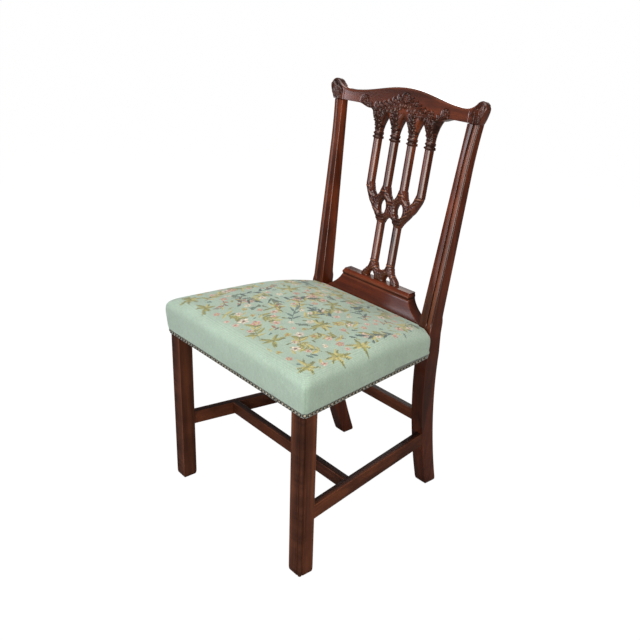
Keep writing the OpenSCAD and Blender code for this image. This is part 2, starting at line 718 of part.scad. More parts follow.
module stuffing() {
    s = cover_t + 0.3;
    color(jute) placed() intersection() {
        seat_form(s, [[for (p = outline(base_out, s)) [p[0], p[1], rail_z]]]);
        translate([-big / 2, -big / 2, pad_z + 0.1]) cube(big);
    }
}

// Close rows of domed nails along the bottom edge of the cover
nail_z = rail_z + nail_d / 2 + 1;
module nail() {
    r = nail_d / 2;
    rotate_extrude($fn = 16) polygon([[0, 0], [r, 0], [r * 0.7, nail_h * 0.75], [0, nail_h]]);
}
nail_lap = nail_d * 0.2;
module nails_front() {
    n = floor((corner_x - nail_lap) / nail_pitch);
    step = (corner_x - nail_lap) / n;
    color(antique) placed() for (i = [-n : n])
        translate([i * step, -base_out, nail_z]) rotate([90, 0, 0]) nail();
}
module nails_left() {
    y0 = corner_r + nail_lap;
    run = (seat_d - 8 - y0) * sqrt(1 + rail_slope * rail_slope);
    n = floor(run / nail_pitch);
    color(antique) placed() for (i = [0 : n]) {
        y = y0 + i * nail_pitch * cos(rail_turn);
        x = side_x(y) + base_out * sqrt(1 + rail_slope * rail_slope);
        translate([x, y, nail_z]) rotate([0, 0, rail_turn]) rotate([0, 90, 0]) nail();
    }
    color(antique) placed() translate([corner_x, corner_r, nail_z]) rotate([0, 0, (rail_turn - 90) / 2])
        translate([corner_r + base_out, 0, 0]) rotate([0, 90, 0]) nail();
}
module nails_right() { right_hand() nails_left(); }

front_leg_left();
front_leg_right();
back_leg_left();
back_leg_right();
crest_rail();
splat();
shoe();
front_rail();
back_rail();
side_rail_left();
side_rail_right();
side_stretcher_left();
side_stretcher_right();
cross_stretcher();
back_stretcher();
corner_block_front_left();
corner_block_front_right();
corner_block_back_left();
corner_block_back_right();
webbing_long();
webbing_cross();
hessian();
stuffing();
seat_cover();
nails_front();
nails_left();
nails_right();
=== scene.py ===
from math import atan, atan2, cos, exp, hypot, pi, radians, sin, sqrt, tan
import bpy
import bmesh
import numpy as np
from mathutils import Matrix, Vector
from mathutils.bvhtree import BVHTree
from mathutils.kdtree import KDTree


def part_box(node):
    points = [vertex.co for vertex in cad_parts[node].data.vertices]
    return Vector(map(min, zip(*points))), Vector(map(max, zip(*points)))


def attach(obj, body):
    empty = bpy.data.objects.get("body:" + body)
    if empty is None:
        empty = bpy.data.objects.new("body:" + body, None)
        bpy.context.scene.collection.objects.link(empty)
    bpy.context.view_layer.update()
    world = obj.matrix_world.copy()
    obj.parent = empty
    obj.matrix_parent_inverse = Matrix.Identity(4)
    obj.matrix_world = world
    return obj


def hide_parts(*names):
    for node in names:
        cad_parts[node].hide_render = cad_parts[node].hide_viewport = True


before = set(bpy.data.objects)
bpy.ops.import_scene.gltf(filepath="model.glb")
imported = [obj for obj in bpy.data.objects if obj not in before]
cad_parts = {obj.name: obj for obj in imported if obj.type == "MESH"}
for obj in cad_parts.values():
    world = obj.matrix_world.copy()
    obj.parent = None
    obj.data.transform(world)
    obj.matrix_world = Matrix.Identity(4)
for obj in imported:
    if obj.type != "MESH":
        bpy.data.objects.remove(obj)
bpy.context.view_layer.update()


# Front legs
# Square mahogany legs with a quirked bead worked down the outer corner. They are
# sawn from the solid, french polished, and their tops run up inside the seat cover.
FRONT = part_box("front_leg_left")[0][1]
LEG_OUT, LEG, LEG_TOP, BEAD, QUIRK = 0.255, 0.0375, 0.4478, 0.009, 0.0016
TOE = ((0, 0.80), (0.8, 0.87), (2.2, 0.925), (4.5, 0.965), (8, 0.99), (13, 1.0))   # worn foot: height in mm, share


def wire(node, inputs):
    """Sets a node's inputs, each to a value or to the output of another node."""
    for name, value in inputs.items():
        if isinstance(value, bpy.types.NodeSocket):
            node.id_data.links.new(value, node.inputs[name])
        else:
            node.inputs[name].default_value = value


def adder(tree):
    """Gives a function that adds a node with its settings and inputs to a tree and gives back one of its outputs."""
    def add(kind, inputs={}, out=0, **settings):
        node = tree.nodes.new(kind if "Node" in kind else "ShaderNode" + kind)
        for name, value in settings.items():
            setattr(node, name, value)
        wire(node, inputs)
        return node.outputs[out]
    return add


def new_finish(name):
    """A new material, its shader, and the function that adds nodes to it."""
    made = bpy.data.materials.new(name)
    made.use_nodes = True
    return made, made.node_tree.nodes["Principled BSDF"], adder(made.node_tree)


def shades(fac, *stops):
    """A ramp of colours, each with the value that it stands at."""
    node = fac.id_data.nodes.new("ShaderNodeValToRGB")
    band = node.color_ramp.elements
    band.remove(band[1])
    for k, (at, colour) in enumerate(stops):
        stop = band.new(at) if k else band[0]
        stop.position, stop.color = at, (*colour, 1)
    wire(node, {"Fac": fac})
    return node.outputs["Color"]


def mahogany(name, along, shade, polish, red):
    """Cuban mahogany, its grain running along x, y or z: dull with age, or french polished."""
    made, wood, add = new_finish(name)
    place = add("TexCoord", out="Object")
    grain = add("Mapping", {"Vector": place, "Scale": [0.05 if a == along else 1.0 for a in "xyz"]})
    figure = add("TexNoise", {"Vector": grain, "Scale": 34, "Detail": 5, "Roughness": 0.62, "Distortion": 0.5})
    tone = shades(figure, *[(at, (r * shade * red, g * shade, b * shade / red)) for at, r, g, b in (
        (0.3, 0.031, 0.0098, 0.0052), (0.52, 0.083, 0.024, 0.0107), (0.74, 0.160, 0.0465, 0.0178))])
    pores = add("TexNoise", {"Vector": grain, "Scale": 950, "Detail": 2})
    pits = add("MapRange", {"Value": pores, "From Min": 0.60, "From Max": 0.74})
    blotch = add("TexNoise", {"Vector": place, "Scale": 11, "Detail": 3})
    dim = add("MapRange", {"Value": blotch, "From Min": 0.35, "From Max": 0.65, "To Min": 0.68, "To Max": 1.12})
    colour = add("Mix", {"Factor": 1, 6: tone, 7: dim}, out=2, data_type="RGBA", blend_type="MULTIPLY")
    # marks on the wood: dark pores, a lighter tone where it is worn and where highlights are painted, and near black
    # where there is patina and where shade is painted, which also dulls the polish
    for word, laid, amount in (("pit", (0.012, 0.005, 0.003, 1), 0.55), ("worn_and_highlit", (0.21, 0.068, 0.03, 1), 0.75),
                               ("hollow", (0.011, 0.005, 0.004, 1), 0.9)):
        mark = pits if word == "pit" else add("Attribute", out="Fac", attribute_name=word)
        mark = add("Math", {0: mark, 1: amount}, operation="MULTIPLY")
        if word == "worn_and_highlit":
            mark = add("Math", {0: mark, 1: dim}, operation="MULTIPLY")
        colour = add("Mix", {"Factor": mark, 6: colour, 7: laid}, out=2, data_type="RGBA")
    rough = add("MapRange", {"Value": blotch, "To Min": 0.46 - 0.20 * polish, "To Max": 0.62 - 0.22 * polish})
    wave = add("TexNoise", {"Vector": grain, "Scale": 55, "Detail": 1})
    relief = add("Math", {0: pits, 1: -0.12, 2: wave}, operation="MULTIPLY_ADD")
    bump = add("Bump", {"Height": relief, "Strength": 0.5, "Distance": 0.0009})
    matt = add("Attribute", out="Fac", attribute_name="hollow")
    sealed = add("MapRange", {"Value": matt, "To Min": 0.03 + 0.97 * polish, "To Max": 0.02 + 0.08 * polish})
    wire(wood, {"Base Color": colour, "Roughness": rough, "Normal": bump, "Specular IOR Level": 0.08,
                "Coat Weight": sealed, "Coat Roughness": 0.11, "Coat IOR": 1.58})
    return made


def eased(corners):
    """Rounds a polygon of (x, y, radius) corners; gives its points and how rubbed each one is."""
    points, rubbed_and_highlit = [], []
    for k, (x, y, r) in enumerate(corners):
        here = Vector((x, y))
        if r == 0:
            points.append(here)
            rubbed_and_highlit.append(0.0)
            continue
        a = (Vector(corners[k - 1][:2]) - here).normalized() * r
        b = (Vector(corners[(k + 1) % len(corners)][:2]) - here).normalized() * r
        for t in (0, 0.25, 0.5, 0.75, 1):
            points.append(here + a * (1 - t) ** 2 + b * t ** 2)
            rubbed_and_highlit.append(1 - abs(2 * t - 1))
    return points, rubbed_and_highlit


def new_object(name, data):
    made = bpy.data.objects.new(name, data)
    bpy.context.collection.objects.link(made)
    return made


def carcase(name, verts, faces, finish, rubbed_and_highlit=(), hollow=(), crease=40):
    """Makes a piece of its points and faces, with each point's wear and painted highlight, and its patina and painted
    shade.
    """
    mesh = bpy.data.meshes.new(name)
    mesh.from_pydata(verts, [], faces)
    shape = bmesh.new()
    shape.from_mesh(mesh)
    bmesh.ops.recalc_face_normals(shape, faces=shape.faces)
    shape.to_mesh(mesh)
    shape.free()
    mesh.shade_smooth()
    mesh.set_sharp_from_angle(angle=radians(crease))
    for word, values in (("worn_and_highlit", rubbed_and_highlit), ("hollow", hollow)):
        if len(values):
            mesh.attributes.new(word, "FLOAT", "POINT").data.foreach_set("value", np.asarray(values, "f"))
    mesh.materials.append(finish)
    return new_object(name, mesh)


def timber(name, rings, finish, rubbed_and_highlit=(), hollow=(), crease=40):
    """Skins closed rings of points into one piece of wood and closes both ends."""
    n = len(rings[0])
    verts = [tuple(p) for ring in rings for p in ring]
    faces = [(i * n + j, i * n + (j + 1) % n, (i + 1) * n + (j + 1) % n, (i + 1) * n + j)
             for i in range(len(rings) - 1) for j in range(n)]
    faces += [tuple(range(n))[::-1], tuple(range(len(verts) - n, len(verts)))]
    return carcase(name, verts, faces, finish, rubbed_and_highlit, hollow, crease)


def seat_in(piece, node):
    """Fixes a finished piece to the chair in place of its CAD node."""
    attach(piece, "root")
    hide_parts(node)


def front_leg_section():
    """The leg in plan: its points, how rubbed each one is, how dark along the beaded corner and its quirks, and how
    dark with painted shade on the inner face.
    """
    x, y, r = LEG_OUT, FRONT, BEAD / 2
    corners = [(x - LEG, y, 0.0012), (x - BEAD - QUIRK, y, 0.0004), (x - BEAD - QUIRK, y + QUIRK, 0),
               (x - BEAD, y + QUIRK, 0)]
    corners += [(x - r + r * cos(radians(a)), y + r + r * sin(radians(a)), 0) for a in range(-135, 46, 15)]
    corners += [(x - QUIRK, y + BEAD, 0), (x - QUIRK, y + BEAD + QUIRK, 0), (x, y + BEAD + QUIRK, 0.0004),
                (x, y + LEG, 0.0012), (x - LEG + 0.0025, y + LEG, 0.0006), (x - LEG, y + LEG - 0.0025, 0.0006)]
    points, rubbed_and_highlit = eased(corners)
    quirks, inner_face_shade = [], []
    for k, p in enumerate(points):
        from_bead = (p - Vector((x - r, y + r))).length
        if from_bead < r + 1e-5:
            rubbed_and_highlit[k] = 0.12
        # darker along the beaded corner and in its quirks
        grime_and_shade = 0.85 if from_bead < 0.0046 else 0.0
        if from_bead > 0.0058 and rubbed_and_highlit[k] < 0.1:
            grime_and_shade = 1.0 if p.y < y + 0.006 else 0.4
        quirks.append(grime_and_shade if abs((p.x - x) + (p.y - y)) < 0.0125 else 0.0)
        # painted shade: the inner face is darkened
        inner_face_shade.append(0.64 if p.x < x - LEG + 0.0003 else 0.0)
    return points, rubbed_and_highlit, quirks, inner_face_shade


upright = mahogany("mahogany_upright", "z", 1.42, 0.12, 0.93)
outline, rubbed_and_highlit, quirks, inner_face_shade = front_leg_section()
middle = Vector((LEG_OUT - LEG / 2, FRONT + LEG / 2))
levels = [(z / 1000, drawn) for z, drawn in TOE] + [(z, 1.0) for z in np.linspace(0.018, LEG_TOP, 70)]
for side, turn in (("left", 1), ("right", -1)):
    rings, wear_and_highlight, grime_and_shade = [], [], []
    for z, drawn in levels:
        rings.append([(turn * q.x, q.y, z) for q in (middle + (p - middle) * drawn for p in outline)])
        patchy = 0.6 + 0.4 * abs(sin(67 * z + turn) * sin(231 * z + 2 * turn))
        wear_and_highlight += [min(1, w * (1.4 - patchy) + max(0, 0.3 - z * 50)) for w in rubbed_and_highlit]
        # painted shade on the inner face; darker along the beaded corner and towards the foot
        grime_and_shade += [max(q * patchy, inner, 0.5 - 10 * z) for q, inner in zip(quirks, inner_face_shade)]
    leg = timber(f"front_leg_{side}_shown", rings, upright, wear_and_highlight, grime_and_shade)
    seat_in(leg, f"front_leg_{side}")


# Back legs
# Each leg and its post are sawn from one plank: kicked back below the seat and
# raked above it, with two quirks that leave a bead along the outer edge of the face.
FIT = 1000 * FRONT            # everything below is measured in millimetres from the front legs' face
SEAT_D, RAIL_Z, RAIL_TOP, HEEL_TOP, POST_TOP = 400, 396, 448, 478, 916.5
KICK, RAKE, POST_W = 75, radians(8.7), 36.5
rubbed_up = mahogany("mahogany_rubbed_up", "z", 0.88, 0.6, 1.45)
heights = np.array([z for z, _ in TOE] + list(np.linspace(24, RAIL_Z, 20))
                   + [410, 430, RAIL_TOP, 456, 464, 470, 475, 480, 486, 494, 504]
                   + list(np.linspace(520, POST_TOP, 22)))


def placed(x, y, z):
    """A place in millimetres, put into the frame in metres."""
    return x / 1000, (y + FIT) / 1000, z / 1000


def smooth(t):
    return t * t * (3 - 2 * t)


def ramp(value, start, run):
    """How far a value has come along a run from its start, from 0 to 1."""
    return np.clip((value - start) / run, 0, 1)


def kicked(z):
    return np.maximum(0, (RAIL_Z - z) / RAIL_Z) ** 1.7


def back_leg_front(z):
    return SEAT_D + KICK * kicked(z) + np.tan(RAKE) * np.maximum(0, z - RAIL_TOP)


def back_leg_rear(z):
    low = SEAT_D + 40 + (KICK - 3) * kicked(z)
    post = back_leg_front(z) + 35 - 16 * (z - HEEL_TOP) / (POST_TOP - HEEL_TOP)
    lump = SEAT_D + 40 + 2.6 * ramp(z, RAIL_TOP, 24)
    fade = smooth(ramp(z, 476, 14))
    return np.where(z < RAIL_TOP, low, lump * (1 - fade) + post * fade)


def back_leg_outer(z):
    lean = 210.5 + 20 * ramp(z, HEEL_TOP, POST_TOP - HEEL_TOP)
    waist = ramp(z, HEEL_TOP, 820 - HEEL_TOP) - (np.maximum(0, z - 820) / (POST_TOP - 820)) ** 2
    return np.where(z < RAIL_Z, 176.5 + 34 * z / RAIL_Z, lean - 4.2 * waist)


def back_leg_inner(z):
    return np.where(z < HEEL_TOP, back_leg_outer(z) - POST_W, 174 + 25 * (z - HEEL_TOP) / (POST_TOP - HEEL_TOP))


for side, turn in (("left", 1), ("right", -1)):
    rings, wear_and_highlight, shade = [], [], []
    for z in heights:
        x1, x0, y0, y1 = (float(f(z)) for f in (back_leg_outer, back_leg_inner, back_leg_front, back_leg_rear))
        cut = float(ramp(z, 466, 6))
        ease, sunk = 1.4 if z > 2 else 2.2, y0 + 2 * cut
        face = [(x0, y1, ease + 0.6), (x0, y0, ease), (x1 - 16.2, y0, 0.3), (x1 - 15.4, sunk, 0), (x1 - 14.2, sunk, 0)]
        face += [(x1 - 8.1 - 5.5 * cos(a), y0 + 1.9 * cut * (1 - sin(a) ** 0.7), 0)
                 for a in map(radians, range(8, 180, 18))]
        face += [(x1 - 2.2, sunk, 0), (x1 - 0.9, sunk, 0.3), (x1, sunk + 0.9, 0.3), (x1, y1, ease + 0.6)]
        points, rubbed_and_highlit = eased(face)
        centre = Vector(((x0 + x1) / 2, (y0 + y1) / 2))
        drawn = float(np.interp(z, *zip(*TOE)))
        rings.append([placed(turn * q.x, q.y, z) for q in (centre + (p - centre) * drawn for p in points)])
        below = z < 440
        for p, r in zip(points, rubbed_and_highlit):
            in_quirk = cut > 0.5 and y0 + 1.4 < p.y < y0 + 2.5 and p.x > x1 - 16.5
            on_bead = cut > 0.5 and p.y < y0 + 0.5 and x1 - 12 < p.x < x1 - 4
            wear_and_highlight.append(min(1, max(r, 0.55 * on_bead) + max(0, 0.5 - z / 20)))
            # painted shade: below the seat the leg is darkened, its face most and more towards the floor; the quirks of
            # the post are darkened
            shade.append(max(1.0 * in_quirk, below * (0.3 + max(0, 0.25 - z / 200) + 0.25 * (p.y < y0 + 1))))
    leg = timber(f"back_leg_{side}_shown", rings, rubbed_up, wear_and_highlight, shade, crease=50)
    seat_in(leg, f"back_leg_{side}")


# Seat frame
# Beech rails tenoned into the legs under the cover, glued and screwed corner
# blocks, and a mahogany back rail that shows behind. They keep their CAD solids.
def beech_wood():
    made, wood, add = new_finish("beech_sawn")
    place = add("TexCoord", out="Object")
    grain = add("Mapping", {"Vector": place, "Scale": (0.3, 0.3, 2.2)})
    flecks = add("TexNoise", {"Vector": grain, "Scale": 130, "Detail": 4})
    marks = add("TexWave", {"Vector": place, "Scale": 90, "Distortion": 1.5}, out="Fac")
    wire(wood, {"Base Color": shades(flecks, (0.3, (0.20, 0.115, 0.055)), (0.7, (0.36, 0.225, 0.115))),
                "Normal": add("Bump", {"Height": marks, "Distance": 0.0003}), "Roughness": 0.72})
    return made


def stain(node, finish):
    """Gives a CAD node its material."""
    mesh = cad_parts[node].data
    mesh.materials.clear()
    mesh.materials.append(finish)


beech = beech_wood()
for node in ("front_rail", "side_rail_left", "side_rail_right", "corner_block_front_left",
             "corner_block_front_right", "corner_block_back_left", "corner_block_back_right"):
    stain(node, beech)
across = mahogany("mahogany_across", "x", 1.05, 0.1, 0.97)
stain("back_rail", across)


# Stretchers
# Plain mahogany bars that tie the legs: one along each side, one between those,
# and a higher one at the back. Their arrises are rubbed soft by feet.
def bar(node, start, end, thick, low, high, finish):
    """A bar whose outer face runs from start to end in plan; thick is measured to its inner side."""
    start, end = Vector(start), Vector(end)
    run = (end - start).normalized()
    inward = Vector((run.y, -run.x)) * thick
    width = abs(thick)
    section, rubbed_and_highlit = eased([(0, low, 1.3), (0, high, 2.0), (0.6 * width, high, 0), (width, high, 2.0),
                             (width, low, 1.3)])
    rings, wear_and_highlight, grime_and_shade = [], [], []
    for k in range(41):
        foot = start + (end - start) * k / 40
        at = [(foot + inward * p.x / width, p.y) for p in section]
        rings.append([placed(q.x, q.y, z) for q, z in at])
        patchy = 0.75 + 0.25 * sin(0.9 * k) * sin(0.37 * k + 1)
        wear_and_highlight += [r * patchy * (1.0 if p.y > (low + high) / 2 and p.x < width / 2 else 0.3)
                 for r, p in zip(rubbed_and_highlit, section)]
        # painted shade: the top faces, under the seat, are darkened nearly to black
        grime_and_shade += [0.95 if p.y > high - 0.6 and 3.0 < p.x < width - 0.5 else 0.0 for p in section]
    seat_in(timber(node + "_shown", rings, finish, wear_and_highlight, grime_and_shade), node)


THICK, SIDE_LOW, CROSS_LOW, TOP, BACK_LOW, BACK_TOP = 18, 138, 143.5, 172, 198.5, 226.5
OUT, CROSS_Y, FOOT_Y = 254, 150, 37.5
deep_grain = mahogany("mahogany_deep", "y", 1.1, 0.1, 0.97)
side_foot = float(back_leg_outer(155)) - 1
side_far = float(back_leg_front(155)) + 1
for side, turn in (("left", 1), ("right", -1)):
    bar(f"side_stretcher_{side}", (turn * OUT, FOOT_Y - 1), (turn * side_foot, side_far), -turn * THICK,
        SIDE_LOW, TOP, deep_grain)
reach = OUT + (side_foot - OUT) * (CROSS_Y - FOOT_Y) / (side_far - FOOT_Y) - 17
bar("cross_stretcher", (-reach, CROSS_Y), (reach, CROSS_Y), -THICK, CROSS_LOW, TOP, across)
behind = float(back_leg_front((BACK_LOW + BACK_TOP) / 2)) + 6
inner = float(back_leg_inner((BACK_LOW + BACK_TOP) / 2)) + 1
bar("back_stretcher", (-inner, behind), (inner, behind), -THICK, BACK_LOW, BACK_TOP, across)


# Shoe
# A moulded mahogany block glued on the back rail. Its face leans back to a quirked
# bead, its ends sweep out to the legs, and the foot of the splat is let into its top.
SHOE_Z, SPLAT_RAKE = 516, radians(8.5)
CREST_Y = float(back_leg_front(POST_TOP)) + 9.5 * cos(RAKE)
SPLAT_Y = CREST_Y + 15 - 8 * sin(RAKE) + 3 - tan(SPLAT_RAKE) * (POST_TOP - 8 * cos(RAKE) - SHOE_Z)
SPLAT_BACK = SPLAT_Y + 8.5
NOTCH, SHOE_HEAD, FOOT_TOP, REAR = 173.6, 114, 455.5, 439
MOULDING = ((448.0, 409.0), (455.5, 409.0), (456.5, 409.4), (499.0, 420.6), (500.5, 421.6), (501.5, 422.6),
            (503.0, 422.8), (504.2, 421.6), (505.5, 420.6), (507.5, 420.2), (509.5, 420.7), (511.0, 422.0),
            (512.2, 423.6), (514.0, 425.2), (516.0, 427.5))         # height and front of the moulded face


def shoe():
    levels = []
    for (z0, y0), (z1, y1) in zip(MOULDING, MOULDING[1:]):
        steps = max(1, int((z1 - z0) / 3))
        levels += [(z0 + (z1 - z0) * k / steps, y0 + (y1 - y0) * k / steps) for k in range(steps)]
    rings, wear_and_highlight, shade = [], [], []
    for z, front in levels + [MOULDING[-1]]:
        swept = (1 - (z - FOOT_TOP) / (SHOE_Z - FOOT_TOP)) ** 2.2 if z > FOOT_TOP else 1
        half = SHOE_HEAD + (NOTCH - SHOE_HEAD) * swept + 1.6 * exp(-((z - 508) / 3.2) ** 2)
        back = REAR + (SPLAT_BACK - REAR) * (z - RAIL_TOP) / (SHOE_Z - RAIL_TOP)
        points, rubbed_and_highlit = eased([(-half, front, 1.0), (half, front, 1.0), (half, back, 1.5), (-half, back, 1.5)])
        rings.append([placed(p.x, p.y, z) for p in points])
        crown = 0.5 if 506 < z < 512 or 498 < z < 501 else 0
        wear_and_highlight += [r * 0.7 + crown * (p.y < front + 3) for r, p in zip(rubbed_and_highlit, points)]
        # painted shade in the quirk under the bead, along the bottom of the face and over the top; the ends are
        # darkened, and the rest a little
        dull_and_shade = 0.9 if 501.5 < z < 504.5 or z < 452 else 0.5 if z > 514 else 0.12
        shade += [max(dull_and_shade, 0.92 if abs(p.x) > half - 0.4 and p.y > front + 2 else 0.0) for p in points]
    finish = mahogany("mahogany_red_across", "x", 0.82, 0.45, 1.72)
    return timber("shoe_shown", rings, finish, wear_and_highlight, shade, crease=28)


seat_in(shoe(), "shoe")


# Carving
# The carver's drawing for the head of the back: a garland of leaves round a flower, leafy
# chains down the heads of the colonnettes and a leaf wrapped round each ear, all in low relief.
COL = 28                      # the colonnettes stand at one and at three times this from the middle
BERRIES = [(0, 943, 11.5, 8), (34, 934, 4.2, 5), (50, 917, 3.4, 5), (64, 923, 4.0, 5), (86, 916, 4.0, 5),
           (0, 926, 4.5, 5), (128, 924, 3.6, 5)]
BERRIES += [(c + dx, 858 + 11.5 * k, 2.3, 1) for c in (COL, 3 * COL) for k in range(5)
            for dx in (-9.5 + 0.3 * k, 10 - 0.3 * k)]


def leaf_list():
    """Every leaf of the drawing: where its foot is, its direction, length, width and curl."""
    rng = np.random.default_rng(11)
    leaves = []

    def leaf(x, z, angle, length, width, curl=0.0):
        aim = radians(angle)
        leaves.append((x, z, aim, length, width, curl))
        leaves.append((-x, z, pi - aim, length, width, -curl))

    for k, (x, z) in enumerate(((13, 938), (27, 932), (40, 926), (53, 921), (67, 917), (81, 912), (94, 906))):
        away = -22 - 3 * k
        leaf(x, z, away + 38 + rng.uniform(-6, 6), 13, 4.2, 0.25)
        leaf(x, z, away - 40 + rng.uniform(-6, 6), 16, 4.6, -0.25)
        leaf(x + 4, z - 9, away - 78 + rng.uniform(-8, 8), 13, 4.0)
    for x, z in ((8, 934), (20, 929), (34, 924), (47, 919), (63, 915), (76, 909)):
        leaf(x, z, -75 + rng.uniform(-16, 16), 12, 3.8)
    for centre in (COL, 3 * COL):
        for z in (850 + 11.5 * k for k in range(6)):
            leaf(centre - 0.5, z, 130, 13.5, 3.5, -0.2)
            leaf(centre + 0.5, z + 5, 52, 12.5, 3.3, 0.2)
    for x, z, angle in ((103, 900, 58), (109, 908, 80), (110, 909, 20), (118, 916, 60), (119, 916, 5)):
        leaf(x, z, angle, 12, 3.6, 0.3)
    for angle in (-30, 12, 52, 92, 130):
        leaf(128, 923, angle, 12.5, 4.0)
    for x, z, angle, length, width in ((206, 931, 52, 24, 4.5), (212, 923, 62, 36, 5.5), (220, 919, 76, 40, 5.5),
                                       (229, 919, 84, 42, 5.0), (237, 925, 82, 34, 4.2)):
        leaf(x, z, angle, length, width, -0.15)
    return leaves


LEAVES = leaf_list()


def over_leaf(dx, dz, angle, length, width, curl):
    """How far points lie along a curling leaf and across it, as shares of its length and width."""
    s = (dx * cos(angle) + dz * sin(angle)) / length
    return s, ((dz * cos(angle) - dx * sin(angle)) - curl * length * s * s) / width


def carving(x, z):
    """Height of the relief (0 to 1), how dark the ground is with patina and painted shade, and how much lighter the
    crowns are with wear and painted highlights, at points of the drawing.
    """
    high, ground = np.zeros_like(x), np.zeros_like(x)
    for cx, cz, angle, length, width, curl in LEAVES:
        near = np.hypot(x - cx, z - cz) < length * 1.2
        if not near.any():
            continue
        s, t = over_leaf(x[near] - cx, z[near] - cz, angle, length, width, curl)
        s1 = np.clip(s, 1e-4, 1 - 1e-4)
        edge = np.sin(pi * s1 ** 0.8) ** 0.7 * (1 - 0.2 * np.abs(np.sin(3 * pi * s1)))
        dome = np.clip(1 - (t / np.maximum(edge, 0.05)) ** 2, 0, 1) ** 0.5
        height = dome * (0.4 + 0.6 * s1) - 0.35 * np.exp(-(t / 0.16) ** 2) * (1 - s1) * (dome > 0)
        high[near] = np.maximum(high[near], np.where((s > 0) & (s < 1), height, 0))
        shadow = np.clip(1.9 - np.abs(t), 0, 1) * np.clip(1.6 - np.abs(s - 0.5) * 2, 0, 1)
        ground[near] = np.maximum(ground[near], shadow)
    for bx, bz, size, petals in BERRIES:
        for turn in (1, -1):
            r, a = np.hypot(x - turn * bx, z - bz) / size, np.arctan2(z - bz, x - turn * bx)
            lobes = 0.5 + 0.5 * np.abs(np.cos(a * petals / 2)) ** 0.6
            petal = np.clip(1.05 - r, 0, 1) ** 0.35 * lobes * np.clip(0.4 + r * 1.4, 0, 1)
            button = np.clip(1 - (r / (0.34 if petals > 1 else 1)) ** 2, 0, 1) ** 0.5
            high = np.where(r < 1, np.maximum(np.maximum(petal * (petals > 1), button) * 1.1, high * 0.5), high)
            ground = np.maximum(ground, np.clip((1 + 2.5 / size - r) * size / 1.5, 0, 1))
    # the ground round each leaf and berry is darkened, less on the leaves themselves: patina and painted shade; the
    # crowns are lightened: wear and painted highlights
    return high, ground * np.clip(1 - 0.75 * high, 0.38, 1), 0.5 * np.clip(high * 2.2 - 1.4, 0, 1)


# Splat
# One sawn mahogany board, raked with the posts: four colonnettes with rounded faces,
# gathered through a pierced tracery band, with turned-looking collars and leafy heads.
HALF, HEAD, SAWING = 9.75, 396.9, 1.15
RING, CAP = ((3.2, 13.8), (12.2, 14.6)), ((3.2, 13.4), (12.2, 11.8))       # rings of a collar: height, half width
COLLARS = ((COL, 142, RING), (COL, 328, CAP), (3 * COL, 328, CAP))
TIES = ((COL, 212, 90), (3 * COL, 214, 90), (COL, 42, 90), (44, 198, 52), (14, 198, 128), (71, 199, 128),
        (62, 182, 128), (50, 166, 118), (15, 28, 60), (47, 20, -50), (0, 186, 90))


def inside_polygon(corners, x, z):
    """Signed distance to a polygon, positive inside."""
    nearest = np.full(x.shape, 1e9)
    odd = np.zeros(x.shape, bool)
    for (x0, z0), (x1, z1) in zip(corners, np.roll(corners, -1, axis=0)):
        dx, dz = x1 - x0, z1 - z0
        t = np.clip(((x - x0) * dx + (z - z0) * dz) / (dx * dx + dz * dz + 1e-12), 0, 1)
        nearest = np.minimum(nearest, np.hypot(x - x0 - t * dx, z - z0 - t * dz))
        if dz != 0:
            odd ^= ((z0 > z) != (z1 > z)) & (x < x0 + (z - z0) * dx / dz)
    return np.where(odd, nearest, -nearest)


def flowing(corners, rounds=2):
    """Cuts the corners of a polygon until its outline flows."""
    shape = np.array(corners, float)
    for _ in range(rounds):
        after = np.roll(shape, -1, axis=0)
        shape = np.stack([shape * 0.78 + after * 0.22, shape * 0.22 + after * 0.78], 1).reshape(-1, 2)
    return shape


def splat_shape(x, v):
    """Signed distance to the outline of the splat; v is the height up its face from the shoe."""
    a = np.abs(x)
    c1, c2, w = COL, 3 * COL, HALF
    foot = [(-12, -9), (62, -9), (62, 0), (59, 9), (50, 17), (42, 25), (c1 + w, 42), (c1 - w, 42), (14, 30),
            (8, 25), (-12, 24)]
    tracery = [(-14, 157), (4, 152), (13, 146), (c1 - w, 133), (c1 + w, 133), (44, 145), (54, 156), (63, 166),
               (67, 172), (74, 178), (83, 193), (c2 + w - 1, 211), (c2 + w - 1, 230), (c2 - w + 1, 230), (68, 208),
               (61, 199), (56, 195), (51, 199), (44, 208), (c1 + w, 228), (c1 - w, 228), (13, 209), (6, 199), (0, 194),
               (-14, 194)]
    head = [(0, 408), (0, 388)]
    for start, turn, first, last in ((0, 1, 1, 0), (2 * c1, -1, 0, 1), (2 * c1, 1, 0.98, 0)):
        head += [(start + turn * (c1 - w) * (1 - t ** 1.7), 342 + 46 * t) for t in np.linspace(first, last, 9)]
    head += [(c2 + w + dx, z) for dx, z in ((0, 342), (0.6, 352), (2.4, 364), (6, 377), (11, 388), (16, 395), (20, 408))]
    solid = np.maximum.reduce([inside_polygon(part, a, v) for part in (flowing(foot), flowing(tracery), head)])
    for centre, low in ((c1, 30), (c2, 216)):
        solid = np.maximum(solid, np.minimum(w - np.abs(a - centre), np.minimum(v - low, 360 - v)))
    for centre, low, rings in COLLARS:
        for up, half in rings:
            solid = np.maximum(solid, np.minimum(half - np.abs(a - centre), 3.1 - np.abs(v - low - up)))
    eye = [(0, 194), (9, 186), (12.5, 174), (9, 162), (0, 156), (-9, 162), (-12.5, 174), (-9, 186)]
    door = [(0, 17), (10, 8), (12.5, -4), (-12.5, -4), (-10, 8)]
    for hole in (eye, door):
        solid = np.minimum(solid, -inside_polygon(flowing([(c1 + dx, z) for dx, z in hole], 3), a, v))
    return solid


